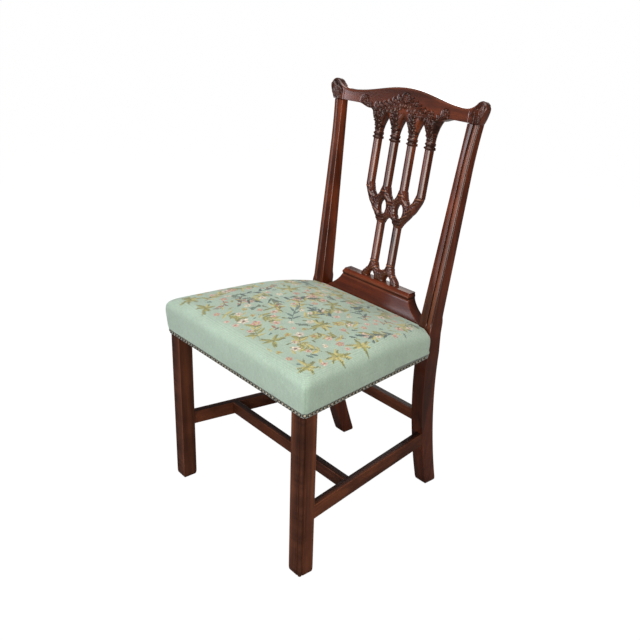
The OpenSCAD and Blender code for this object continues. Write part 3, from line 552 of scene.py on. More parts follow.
def fine_grid(shape, xs, vs, step, top=np.inf):
    """Lays a square grid over a shape and draws its outer points on to the outline, none past the top.
    Gives the points, the quads between them, the edges of the rim and each quad's place in the grid."""
    x, v = np.meshgrid(xs, vs, indexing="ij")
    deep = shape(x, v)
    keep = deep > -0.72 * step
    gx, gv = np.gradient(deep, step)
    steep = np.maximum(np.hypot(gx, gv), 0.3) ** 2
    snap = keep & (deep < 0.34 * step)
    for _ in range(2):
        x = np.where(snap, x - deep * gx / steep, x)
        v = np.minimum(np.where(snap & (v < top - 0.1), v - deep * gv / steep, v), top)
        deep = np.where(snap, shape(x, v), deep)
    whole, outer = (a[:-1, :-1] & a[1:, :-1] & a[1:, 1:] & a[:-1, 1:] for a in (keep, snap))
    i, j = np.nonzero(whole & ~outer)
    corners = ((i, j), (i + 1, j), (i + 1, j + 1), (i, j + 1))
    used, number = np.zeros(x.shape, bool), np.full(x.shape, -1)
    for corner in corners:
        used[corner] = True
    number[used] = np.arange(used.sum())
    quads = np.stack([number[corner] for corner in corners], 1)
    edges = np.concatenate([quads[:, [k, (k + 1) % 4]] for k in range(4)])
    _, first, count = np.unique(np.sort(edges, 1) @ np.array([1, used.sum()]), return_index=True, return_counts=True)
    return x[used], v[used], quads, edges[first[count == 1]], (i, j)


def ridge(distance, width):
    return np.sqrt(np.clip(1 - (distance / width) ** 2, 0, 1))


def splat_face(x, v, depth):
    """Depth of the uncarved face: half-round members that swell forward to lie flush with the top rail."""
    r = np.minimum(depth, HALF) / HALF
    swell = smooth(ramp(v, 346, 44)) * (14 - HALF + x * x / 3060)
    return -(HALF * np.sqrt(1 - (1 - r) ** 2)) - swell * np.minimum(1, depth / 3)


def splat_relief(x, v, depth):
    """Depth of the carved face, how dark it is with patina and painted shade in its hollows, and how much lighter on
    its crowns with wear and painted highlights.
    """
    a = np.abs(x)
    high, ground, rub_and_highlight = carving(x, SHOE_Z + v * cos(SPLAT_RAKE))
    on_head = ramp(v, 343, 6)
    lift = (3.0 * high - 0.8 * ground) * on_head * np.minimum(1, depth / 1.5)
    dark, rub_and_highlight = ground * on_head, rub_and_highlight * on_head
    # the collar rings are raised and darkened, and so is the groove below them
    for centre, low, rings in COLLARS:
        here = np.abs(a - centre)
        for up, half in rings:
            on_ring, level = here < half + 0.5, v - low - up
            notched = 0.85 + 0.15 * np.cos(a * 1.5 + up)
            lift = lift + 3.0 * ridge(level, 3.1) * on_ring * ridge(here, half + 1) * notched
            dark = np.maximum(dark, 0.72 * on_ring * (np.abs(level) < 3.4))
        dark = np.maximum(dark, np.clip(1 - np.abs(v - low - 7.7) / 2.4, 0, 1) * (here < 14))
    # each tie is raised, with a painted highlight along it and painted shade in the grooves either side
    for px, pv, angle in TIES:
        s, t = over_leaf(a - px, v - pv, radians(angle), 1, 1, 0)
        tie = ridge(s, 1.9) * (np.abs(t) < 9.4)
        lift = lift + 1.9 * tie * np.minimum(1, depth / 1.0)
        rub_and_highlight = np.maximum(rub_and_highlight, 1.3 * tie)
        dark = np.maximum(dark, (np.abs(t) < 9.4) * np.clip(1 - np.abs(np.abs(s) - 3.2) / 1.5, 0, 1))
    # the nodes of the tracery are cut with tool marks and darkened in them
    node = ramp(v, 152, 4) * np.clip((206 - v) / 4, 0, 1) + (v < 34)
    tool = 0.5 + 0.5 * np.sin(a * 0.7 + 1.3 * np.sin(v * 0.3)) * np.sin(v * 0.62 + 0.6 * np.sin(a * 0.5))
    lift = lift - node * 0.7 * tool * ramp(depth, 2.5, 4)
    dark = np.maximum(dark, node * tool ** 1.5 * 0.55 * ramp(depth, 1.0, 3))
    return splat_face(x, v, depth) - lift, dark, np.clip(rub_and_highlight, 0, 1)


def raked(x, depth, up, rake, foot_y, foot_z):
    """Points of a piece that leans back from its foot, put into the frame in metres."""
    c, s = cos(rake), sin(rake)
    return np.stack([x, FIT + foot_y + depth * c + up * s, foot_z + up * c - depth * s], 1) / 1000


def sawn_board(finish):
    """Saws the splat to shape on a fine grid and carves its face; its top end stays square."""
    xs, vs = np.arange(-116, 116 + SAWING, SAWING), np.linspace(-6, HEAD, round((HEAD + 6) / SAWING))
    x, v, quads, rim, _ = fine_grid(splat_shape, xs, vs, SAWING, HEAD)
    sawn = rim[np.min(v[rim], axis=1) < HEAD - 0.05]
    tree = KDTree(len(sawn))
    for k, p in enumerate(sawn[:, 0]):
        tree.insert((x[p], v[p], 0), k)
    tree.balance()
    apart = np.array([tree.find((px, pv, 0))[2] for px, pv in zip(x, v)])
    depth = np.sqrt(np.maximum(apart ** 2 - 0.1 * SAWING ** 2, 0.04))
    depth[sawn] = 0
    front, hollow, rubbed_and_highlit = splat_relief(x, v, depth)
    rear = 7.4 - 1.2 * np.clip(1 - depth / 1.6, 0, 1) ** 2
    verts = np.concatenate([raked(x, face, v, SPLAT_RAKE, SPLAT_Y, SHOE_Z) for face in (front, rear)])
    n, plain = len(x), np.zeros(len(x))
    faces = [tuple(q) for q in quads] + [tuple(q[::-1] + n) for q in quads] + [(b, a, a + n, b + n) for a, b in rim]
    return carcase("splat_shown", verts.tolist(), faces, finish, np.append(rubbed_and_highlit, plain), np.append(hollow, plain), 55)


seat_in(sawn_board(mahogany("mahogany_polished", "z", 0.77, 1.0, 1.40)), "splat")


# Top rail
# A serpentine rail, bowed back in plan and rounded over its top edge, with a leaf
# garland over the heads of the colonnettes and round ears that cap the posts.
EAR_R, EAR_H, DIP, LOBE = 16.5, 32, 178, 8
POST_OUT, END, BOW, TOP_LOW = 230.5, 245.5, 15, 28.5
EAR_X = END - EAR_R
EAR_IN = EAR_X - 0.8 * EAR_R
HEADS_END = 4 * COL + 36


def crest_line(x):
    """Top, bottom, half thickness and bow of the rail at a distance from its middle."""
    bow_r = ((POST_OUT - 15.75) ** 2 + BOW ** 2) / (2 * BOW)
    bow = BOW - bow_r + sqrt(bow_r ** 2 - x * x)
    if x < DIP:
        top = TOP_LOW + 22.5 * ((1 + cos(pi * x / DIP)) / 2) ** 0.95
    elif x < EAR_IN:
        top = TOP_LOW + (EAR_H + 0.6 * EAR_R - TOP_LOW) * ((x - DIP) / (EAR_IN - DIP)) ** 2.4
    else:
        top = EAR_H + sqrt(max(0, EAR_R ** 2 - (x - EAR_X) ** 2))
    low = -LOBE * (1 - smooth(ramp(x, 4 * COL, HEADS_END - 4 * COL)))
    if x > POST_OUT:
        low = EAR_H * ((x - POST_OUT) / (END - POST_OUT)) ** 1.2
    half = 11 * (1 if x < EAR_X else 0.45 + 0.55 * sqrt(max(0, 1 - ((x - EAR_X) / EAR_R) ** 2)))
    return top, low, half, bow


def crest_rail(finish):
    xs = list(np.arange(0, 228, 1.25)) + [POST_OUT + (END - POST_OUT) * sin(radians(w)) for w in range(-8, 88, 4)]
    rows = 48
    rings, wear_and_highlight, shade = [], [], []
    for x in sorted(set([-x for x in xs] + xs)):
        out = POST_OUT - abs(x)
        top, low, half, bow = crest_line(abs(x))
        r = min(6, (top - low) * 0.45, half * 0.9)
        q = 0.5 if out > 0 else min(2.5, (top - low) * 0.3)
        if abs(x) < HEADS_END:
            q = 0.05 + 1.6 * float(ramp(abs(x), 106, 8))
        z = np.linspace(low + q, top - r, rows)
        high, ground, rub_and_highlight = carving(np.full(rows, x), z * cos(RAKE) + POST_TOP)
        run = np.clip((34 - z) / 22, 0, 1) * (low < 6)
        quirk = 1.9 * (0 < out < 2.4) + 1.9 * (13.8 < out < 16)
        y = bow - half - 3.0 * high + 0.8 * ground + run * quirk + 0.45 * exp(-((out - 31.5) / 0.9) ** 2)
        # the ears and the quirks are darkened, and the carving's ground gets patina and painted shade
        ear = float(ramp(abs(x), 203, 8)) * ramp(z, 8, 12)
        dark = np.maximum(np.maximum(ground, 0.66 * ear * (1 - high)), 0.9 * run * (quirk > 0))
        arc = [(r * (1 - cos(w)), top - r + r * sin(w)) for w in map(radians, range(15, 91, 15))]
        face, rear = bow - half, bow + half
        section = list(zip(y, z)) + [(face + dy, dz) for dy, dz in arc] + [(rear - dy, dz) for dy, dz in arc[::-1]]
        section += [(rear, top - r), (rear, (top + low) / 2), (rear, low + q), (rear - q, low), (face + q, low)]
        rings.append(raked(np.full(len(section), x), *np.array(section).T, RAKE, CREST_Y, POST_TOP))
        # the carved crowns are lighter, with wear and painted highlights; the rounded top is a little rubbed, and
        # darker over the ears
        wear_and_highlight += list(rub_and_highlight) + [0.2] * 12 + [0] * 5
        shade += list(dark) + [0.6 * float(ramp(abs(x), 208, 8))] * 12 + [0] * 5
    return timber("crest_rail_shown", rings, finish, wear_and_highlight, shade, crease=48)


seat_in(crest_rail(mahogany("mahogany_polished_across", "x", 0.77, 1.0, 1.42)), "crest_rail")


# Webbing and hessian
# Jute webbing, three strips each way, interlaced and tacked to the tops of the
# rails, with coarse hessian strained over it to carry the hair.
WEB, WEB_T, WEB_Z, PLAIT, COLUMNS = 0.05, 0.0015, 0.4482, 0.0019, 9
SACK, SACK_T, SACK_Z = 449, 0.0008, 0.4519
LONGS, CROSSES, TAPER = (-95, 0, 95), (85, 195, 305), 0.1228


def jute(name, pitch, colour, stripe):
    made, cloth, add = new_finish(name)
    plan = add("UVMap")
    threads = {"Vector": plan, "Scale": 0.314 / pitch, "Distortion": 0.6, "Detail Scale": 2}
    warp, weft = (add("TexWave", threads, "Fac", bands_direction=axis) for axis in "XY")
    woven = add("Math", {0: warp, 1: weft}, operation="MULTIPLY")
    slub = add("TexNoise", {"Vector": plan, "Scale": 60})
    mixed = add("Math", {0: slub, 1: 0.6, 2: woven}, operation="MULTIPLY_ADD")
    tone = shades(mixed, (0.2, [c * 0.35 for c in colour]), (1.0, colour))
    lines = add("Attribute", out="Fac", attribute_name="selvedge")
    wire(cloth, {"Base Color": add("Mix", {"Factor": lines, 6: tone, 7: stripe}, 2, data_type="RGBA"),
                 "Normal": add("Bump", {"Height": woven, "Distance": 0.0005}), "Roughness": 0.9})
    return made


def strips(name, runs, width, thick, finish):
    """Strips of cloth: each run is a list of stations, with a middle, a way across and a height."""
    verts, faces, uvs, edge = [], [], [], []
    row = 2 * COLUMNS
    for stations in runs:
        base, travelled = len(verts), 0.0
        for k, (point, sideways, lift) in enumerate(stations):
            if k:
                travelled += (Vector(point) - Vector(stations[k - 1][0])).length
            for layer in (0, thick):
                for c in range(COLUMNS):
                    f = c / (COLUMNS - 1) - 0.5
                    p = Vector(point) + Vector(sideways) * f * width
                    verts.append((p.x, p.y, lift + layer))
                    uvs.append((f * width, travelled))
                    edge.append(1.0 if c in (1, COLUMNS - 2) else 0.0)
        last = base + (len(stations) - 1) * row
        for a in range(base, last, row):
            b = a + row
            for c in range(COLUMNS - 1):
                faces.append((a + c, a + c + 1, b + c + 1, b + c))
                faces.append((a + COLUMNS + c, b + COLUMNS + c, b + COLUMNS + c + 1, a + COLUMNS + c + 1))
            faces.append((a, b, b + COLUMNS, a + COLUMNS))
            faces.append((a + COLUMNS - 1, a + row - 1, b + row - 1, b + COLUMNS - 1))
        for a in (base, last):
            faces += [(a + c, a + COLUMNS + c, a + COLUMNS + c + 1, a + c + 1) for c in range(COLUMNS - 1)]
    piece = carcase(name, verts, faces, finish)
    flat = np.array([uvs[loop.vertex_index] for loop in piece.data.loops], "f")
    piece.data.uv_layers.new(name="canvas").data.foreach_set("uv", flat.ravel())
    piece.data.attributes.new("selvedge", "FLOAT", "POINT").data.foreach_set("value", np.array(edge, "f"))
    return piece


def over_under(at, crossings, first):
    """The height at which a strip rides as it passes over and under the strips that it crosses."""
    near = [max(0.0, 1 - abs(at - c) / 45) for c in crossings]
    return WEB_Z + PLAIT * sum(smooth(share) for k, share in enumerate(near) if (k + first) % 2)


web_finish = jute("jute_webbing", 0.0022, (0.40, 0.30, 0.16), (0.10, 0.06, 0.03, 1))
runs = [[(placed(x, y, 0), (1, 0, 0), over_under(y, CROSSES, k)) for y in np.linspace(3.5, 405.5, 68)]
        for k, x in enumerate(LONGS)]
webbing = strips("webbing_long_shown", runs, WEB, WEB_T, web_finish)
seat_in(webbing, "webbing_long")
runs = []
for k, y in enumerate(CROSSES):
    half = 255 - TAPER * (y - 12) - 4
    runs.append([(placed(x, y, 0), (0, 1, 0), over_under(x, LONGS, k + 1)) for x in np.linspace(-half, half, 84)])
webbing = strips("webbing_cross_shown", runs, WEB, WEB_T, web_finish)
seat_in(webbing, "webbing_cross")
runs = [[(placed(0, y, 0), (2 * (249 - TAPER * (y - 37.5)) / SACK, 0, 0), SACK_Z) for y in np.linspace(7, 393, 40)]]
sacking = jute("jute_hessian", 0.0016, (0.36, 0.27, 0.15), (0.36, 0.27, 0.15, 1))
hessian = strips("hessian_shown", runs, SACK / 1000, SACK_T, sacking)
seat_in(hessian, "hessian")


# Stuffing
# Curled hair under calico, built up square at the front and the sides and crowned
# in the middle. The pad is blown up as cloth until its sides pull tight.
SEAT_BACK, EDGE, FALL, CROWN, MIDDLE = 408.6, 88, 24.5, 13, 204
ROLL, DROP, BELLY, HEM, LEAN, CORNER, STEPS = 20, 22, 8.8, 2.4, 0.2, 14, 24
SLOPE = 44.5 / 362.5
SPLAY, SLANT = atan(SLOPE), sqrt(1 + SLOPE ** 2)


def seat_side(y):
    return 255 - SLOPE * (y - 37.5)


def seat_edge(y):
    """Height of the seat's edge above the undersides of the rails."""
    return EDGE - FALL * np.maximum(0, (y - SEAT_BACK / 2) / (SEAT_BACK / 2)) ** 2


def seat_top(x, y):
    """Height of the finished top above the undersides of the rails."""
    dome = (np.maximum(0, 1 - (x / seat_side(y)) ** 2) * np.maximum(0, 1 - (2 * y / SEAT_BACK - 1) ** 2)) ** 0.72
    return seat_edge(y) + CROWN * dome


def seat_plan(out, inward, r):
    """The seat in plan, left half then right: pushed out from the rails, its front corners rounded,
    its back and post notches moved in."""
    cy = r - out
    cx = float(seat_side(cy)) + out * SLANT - r * SLANT
    half = [(cx * k / STEPS, -out) for k in range(STEPS)]
    for w in np.linspace(-pi / 2, SPLAY, STEPS):
        full = 1.2 * max(0, out / BELLY) * sin((w + pi / 2) / (SPLAY + pi / 2) * pi) ** 2
        half.append((cx + (r + full) * cos(w), cy + (r + full) * sin(w)))
    notch_y, notch_x = 399.6 - inward, NOTCH - inward
    half += [(float(seat_side(y)) + out * SLANT, y) for y in np.linspace(half[-1][1], notch_y, STEPS)[1:]]
    half += [(x, notch_y) for x in np.linspace(float(seat_side(notch_y)) + out, notch_x, 6)[1:]]
    half += [(x, SEAT_BACK - inward) for x in np.linspace(notch_x, 0, 14)]
    return half + [(-x, y) for x, y in half[-2:0:-1]]


def seat_roll(f):
    """The rolled edge from the flat top (f = 0) over its widest place (f = 0.5) to the nails (f = 1).
    Gives how far it stands out from the rails, its corner radius and the share of the roll's drop."""
    a = LEAN + (pi / 2 - LEAN) * min(1, 2 * f)
    drop = (cos(LEAN) - cos(a)) / cos(LEAN)
    if f < 0.5:
        return -ROLL + (ROLL + BELLY) * (sin(a) - sin(LEAN)) / (1 - sin(LEAN)), CORNER, drop
    u = 2 * f - 1
    return BELLY - (BELLY - HEM) * u ** 1.8, CORNER - 3.6 * u, drop


def pad_blank():
    """The pad before it is filled out: its base, rings round the rolled edge, and rings that close over the crown."""
    rings = [[(x, y, 453.2) for x, y in seat_plan(BELLY - 6.5, 5, 12)]]
    for f in (0.4, 0.3, 0.2, 0.1, 0.0):
        out, r, drop = seat_roll(f)
        rings.append([(x, y, max(454 + 6 * (0.5 - f), RAIL_Z + float(seat_edge(y)) - 3.5 - DROP * drop))
                      for x, y in seat_plan(out - 5.5, 5 + 14 * (0.4 - f), r)])
    for scale in (0.85, 0.65, 0.45, 0.25, 0.08):
        drawn = [(x * scale, MIDDLE + (y - MIDDLE) * scale) for x, y in seat_plan(-ROLL - 5, 12, CORNER)]
        rings.append([(x, y, RAIL_Z + float(seat_top(x, y)) - 3) for x, y in drawn])
    return [[placed(*p) for p in ring] for ring in rings]


def calico():
    made, cloth, add = new_finish("calico_over_hair")
    curls = add("TexNoise", {"Vector": add("TexCoord", out="Object"), "Scale": 400, "Distortion": 3})
    wire(cloth, {"Base Color": shades(curls, (0, (0.05, 0.035, 0.02)), (1, (0.45, 0.40, 0.30))), "Roughness": 0.95})
    return made


def modified(piece, kind, **settings):
    """Puts a modifier on a piece and applies it at once."""
    bpy.context.view_layer.objects.active = piece
    tool = piece.modifiers.new(kind.lower(), kind)
    for name, value in settings.items():
        setattr(tool, name, value)
    bpy.ops.object.modifier_apply(modifier=tool.name)


def filled_out(pad, most):
    """Blows the pad up as cloth under pressure, holds its base, and caps how far a point may move."""
    modified(pad, "REMESH", mode="VOXEL", voxel_size=0.0065, use_smooth_shade=True)
    rest = np.array([v.co for v in pad.data.vertices])
    tacked = pad.vertex_groups.new(name="tacked")
    tacked.add([v.index for v in pad.data.vertices if v.co.z < 0.4585], 1, "REPLACE")
    cloth = pad.modifiers.new("cloth", "CLOTH")
    cloth.settings.use_pressure = True
    cloth.settings.uniform_pressure_force = 4
    cloth.settings.effector_weights.gravity = 0
    cloth.settings.vertex_group_mass = "tacked"
    cloth.settings.quality = 5
    cloth.point_cache.frame_start, cloth.point_cache.frame_end = 1, 20
    for f in range(1, 21):
        bpy.context.scene.frame_set(f)
    bpy.ops.object.modifier_apply(modifier="cloth")
    bpy.context.scene.frame_set(1)
    moved = np.array([v.co for v in pad.data.vertices]) - rest
    far = np.maximum(np.linalg.norm(moved, axis=1, keepdims=True), 1e-9)
    held = rest + moved * np.minimum(1, most / far)
    pad.data.vertices.foreach_set("co", held.astype("f").ravel())
    pad.vertex_groups.clear()
    modified(pad, "SMOOTH", iterations=4)


pad = timber("stuffing_pad", pad_blank(), calico())
filled_out(pad, 0.004)
seat_in(pad, "stuffing")


# Seat cover
# Wool tent stitch on canvas, sage green with a field of scattered flower sprigs, drawn
# tight over the pad and nailed along the rails, with a stitched pleat at each front corner.
STITCH, NAIL_Z, ROWS, IN_TOP, IN_LOW = 2.28, 402, 24, 11, 0.8
SAGE = (0.345, 0.470, 0.375)


def sprigs():
    """Draws the flower sprigs of the seat as strokes and dots: their place, direction, length, width
    (none for a dot), bend and wool. A place is a point and, where it matters, a direction."""
    rng = np.random.default_rng(37)
    some = rng.uniform
    olive, moss, gold, slate = (0.30, 0.30, 0.085), (0.17, 0.20, 0.08), (0.47, 0.43, 0.15), (0.066, 0.118, 0.108)
    teal, rose, shell, cream = (0.125, 0.205, 0.175), (0.58, 0.32, 0.26), (0.66, 0.47, 0.38), (0.70, 0.63, 0.50)
    rust, brown = (0.40, 0.16, 0.08), (0.17, 0.09, 0.06)
    marks, taken = [], []

    def pick(*wools):
        return wools[int(rng.integers(len(wools)))]

    def ahead(place, far, swing=0.0):
        """The point that lies this far on from a place, its direction turned by the swing."""
        x, y, angle = place
        return x + far * cos(angle + swing), y + far * sin(angle + swing)

    def stroke(place, swing, length, width, wool, bend=0.0):
        x, y, angle = place
        marks.append((x, y, angle + swing, 1.06 * length, 1.14 * width, bend, wool))
        taken.append(ahead(place, 0.5 * length, swing))

    def dot(x, y, size, wool):
        marks.append((x, y, 0, size, 0, 0, wool))

    def blossom(place, size, wool, heart):
        start = some(0, 2)
        for k in range(5):
            petal = wool if k % 2 else tuple(c * 0.82 for c in wool)
            stroke((*place, start), k * 2 * pi / 5, size * some(0.85, 1.1), size * 0.34, petal)
        dot(*place, size * 0.26, heart)

    def stem(place, length, bend, wool):
        """A curved stem; gives back its places."""
        places = []
        for k in range(int(length / 1.5)):
            places.append(place)
            dot(*place[:2], 1.15, wool)
            place = (*ahead(place, 1.5), place[2] + bend * 1.5 / length)
        return places

    def star(place):
        """Broad leaves that spread from one place."""
        x, y, angle = place
        count = int(rng.integers(5, 8))
        for k in range(count):
            a = angle + k * 6.28 / count + some(-0.35, 0.35)
            long = some(20, 36)
            stroke((x, y, a), 0, long, some(3.6, 4.8), pick(gold, olive), some(-0.3, 0.3))
            stroke((*ahead((x, y, a), 0.45 * long), a), some(-0.3, 0.3), 0.55 * long, 2.0, moss)
        dot(x, y, 3, moss)

    def frond(place):
        """A bent stem with dark paired leaves."""
        wool, under = pick((slate, teal), (teal, slate), (slate, slate))
        places = stem(place, some(52, 78), some(-0.9, 0.9), under)
        for number, at in enumerate(places[5::int(rng.integers(8, 12))]):
            turn = 1 if number % 2 else -1
            stroke(at, turn * some(0.45, 1.0), some(20, 30), some(2.7, 3.6), wool, some(-0.1, 0.3) * turn)
            if some() < 0.35:
                stroke(at, -turn * some(0.5, 1.1), some(12, 22), 2.8, under)
        stroke(places[-1], 0, 27, 3.8, wool)

    def spray(place):
        """A flowering stem with olive leaves."""
        places = stem(place, some(50, 74), some(-1.1, 1.1), pick(brown, moss))
        for k in range(5, len(places) - 4, 7):
            turn = 1 if k % 2 else -1
            stroke(places[k], some(0.5, 1.1) * turn, some(19, 31), some(3.3, 4.6), pick(olive, gold), 0.2)
            stroke(places[k], -some(0.6, 1.3) * turn, some(13, 21), 2.9, (moss, olive, gold)[k % 3], -0.2)
        wool, heart = pick((rose, gold), (shell, rust), (cream, brown), (gold, rust))
        blossom(ahead(places[-1], 6), some(10.5, 13.5), wool, heart)
        blossom(ahead(places[len(places) // 2], 12, 1.3), some(8, 10.5), pick(shell, cream), rust)

    def grass(place):
        """A tuft of thin dark blades."""
        x, y, angle = place
        for k in range(6):
            foot = (x + 3.2 * (k - 2.5), y, angle)
            stroke(foot, 0.17 * (k - 2.5), some(22, 38), 1.9, (slate, moss, teal)[k % 3], some(-0.15, 0.15))

    def twig(place):
        """A brown forked twig with rust buds."""
        places = stem(place, some(32, 48), some(-1.5, 1.5), brown)
        for k in range(3, len(places), 5):
            stroke(places[k], 0.9 if k % 2 else -0.9, some(11, 17), 2.5, (rust, brown, gold)[k % 3])

    def free_place(edge, tries):
        """The emptiest of several chance places within the field."""
        best, room = (0.0, 200.0), -1.0
        for _ in range(tries):
            y = some(14 + edge, 398)
            x = some(-1, 1) * (float(seat_side(y)) - 5 - edge)
            near = min([hypot(x - a, y - b) for a, b in taken], default=99)
            if near > room:
                best, room = (x, y), near
        return best

    for plant, how_many, edge in ((spray, 22, 8), (star, 13, 14), (frond, 9, 12), (twig, 10, 8), (grass, 8, 8)):
        for _ in range(how_many):
            x, y = free_place(edge, 24)
            plant((x, y, atan2(205 - y, -x) + some(-1.7, 1.7)))
    for k in range(56):
        blossom(free_place(6, 30), some(7, 10.5), (rose, shell, cream, gold)[k % 4], (gold, rust)[k % 2])
    for k in range(64):
        foot = (*free_place(4, 30), some(0, 6.28))
        stroke(foot, 0, some(11, 20), some(2.0, 3.0), (teal, olive, slate, moss, gold)[k % 5], 0.2)
    return marks


def stitched(x, y):
    """Colour of the stitch at each point of the canvas."""
    rng = np.random.default_rng(5)
    colour = np.tile(np.array(SAGE), (len(x), 1))
    for cx, cy, angle, length, width, bend, wool in sprigs():
        near = np.nonzero((np.abs(x - cx) < length + 3) & (np.abs(y - cy) < length + 3))[0]
        dx, dy = x[near] - cx, y[near] - cy
        hit, light = np.hypot(dx, dy) < max(length, 1.05), np.ones(len(near))
        if width:
            s, t = over_leaf(dx, dy, angle, length, max(width, 1.2), bend)
            hit = (s > 0.03) & (s < 1) & (np.abs(t) < np.sin(pi * np.clip(s, 0, 1) ** 0.75))
            light = np.where(t > 0, 1.12, 0.8)
        colour[near[hit]] = np.array(wool) * light[hit, None]
    bands = 1 + 0.03 * np.sin(y * 0.11) * np.sin(x * 0.035 + 1.2)
    colour *= bands[:, None] * rng.normal(1, 0.045, (len(x), 1)) * rng.normal(1, 0.014, (len(x), 3))
    return np.clip(colour, 0, 1)


def needlework():
    made, wool, add = new_finish("needlework_wool")

    def sums(kind, *values):
        return add("Math", dict(enumerate(values)), operation=kind)

    def ribs(value):
        """Round ribs, one to each whole number."""
        return sums("POWER", sums("ABSOLUTE", sums("SINE", sums("MULTIPLY", value, pi))), 0.6)

    plan = add("UVMap")
    across, up = add("SeparateXYZ", {0: plan}).node.outputs[:2]
    stitch = sums("MULTIPLY", ribs(up), ribs(sums("ADD", across, sums("MULTIPLY", up, 0.35))))
    fuzz = add("TexNoise", {"Vector": plan, "Scale": 3.1, "Detail": 4})
    height = sums("ADD", stitch, sums("MULTIPLY", fuzz, 0.5))
    # painted shade in the valleys between the stitches
    shade = add("MapRange", {"Value": stitch, "From Max": 0.6, "To Min": 0.72})
    soil = add("TexNoise", {"Vector": add("TexCoord", out="Object"), "Scale": 9, "Detail": 4})
    age = add("MapRange", {"Value": soil, "From Min": 0.35, "From Max": 0.7, "To Min": 0.93, "To Max": 1.05})
    yarn = add("Attribute", out="Color", attribute_name="wool")
    shaded = {"Factor": 1, 6: yarn, 7: sums("MULTIPLY", shade, age)}
    tinted = add("Mix", shaded, 2, data_type="RGBA", blend_type="MULTIPLY")
    wire(wool, {"Base Color": tinted, "Normal": add("Bump", {"Height": height, "Distance": 0.0006, "Strength": 0.8}),
                "Roughness": 0.9, "Sheen Weight": 0.35, "Sheen Roughness": 0.5})
    return made


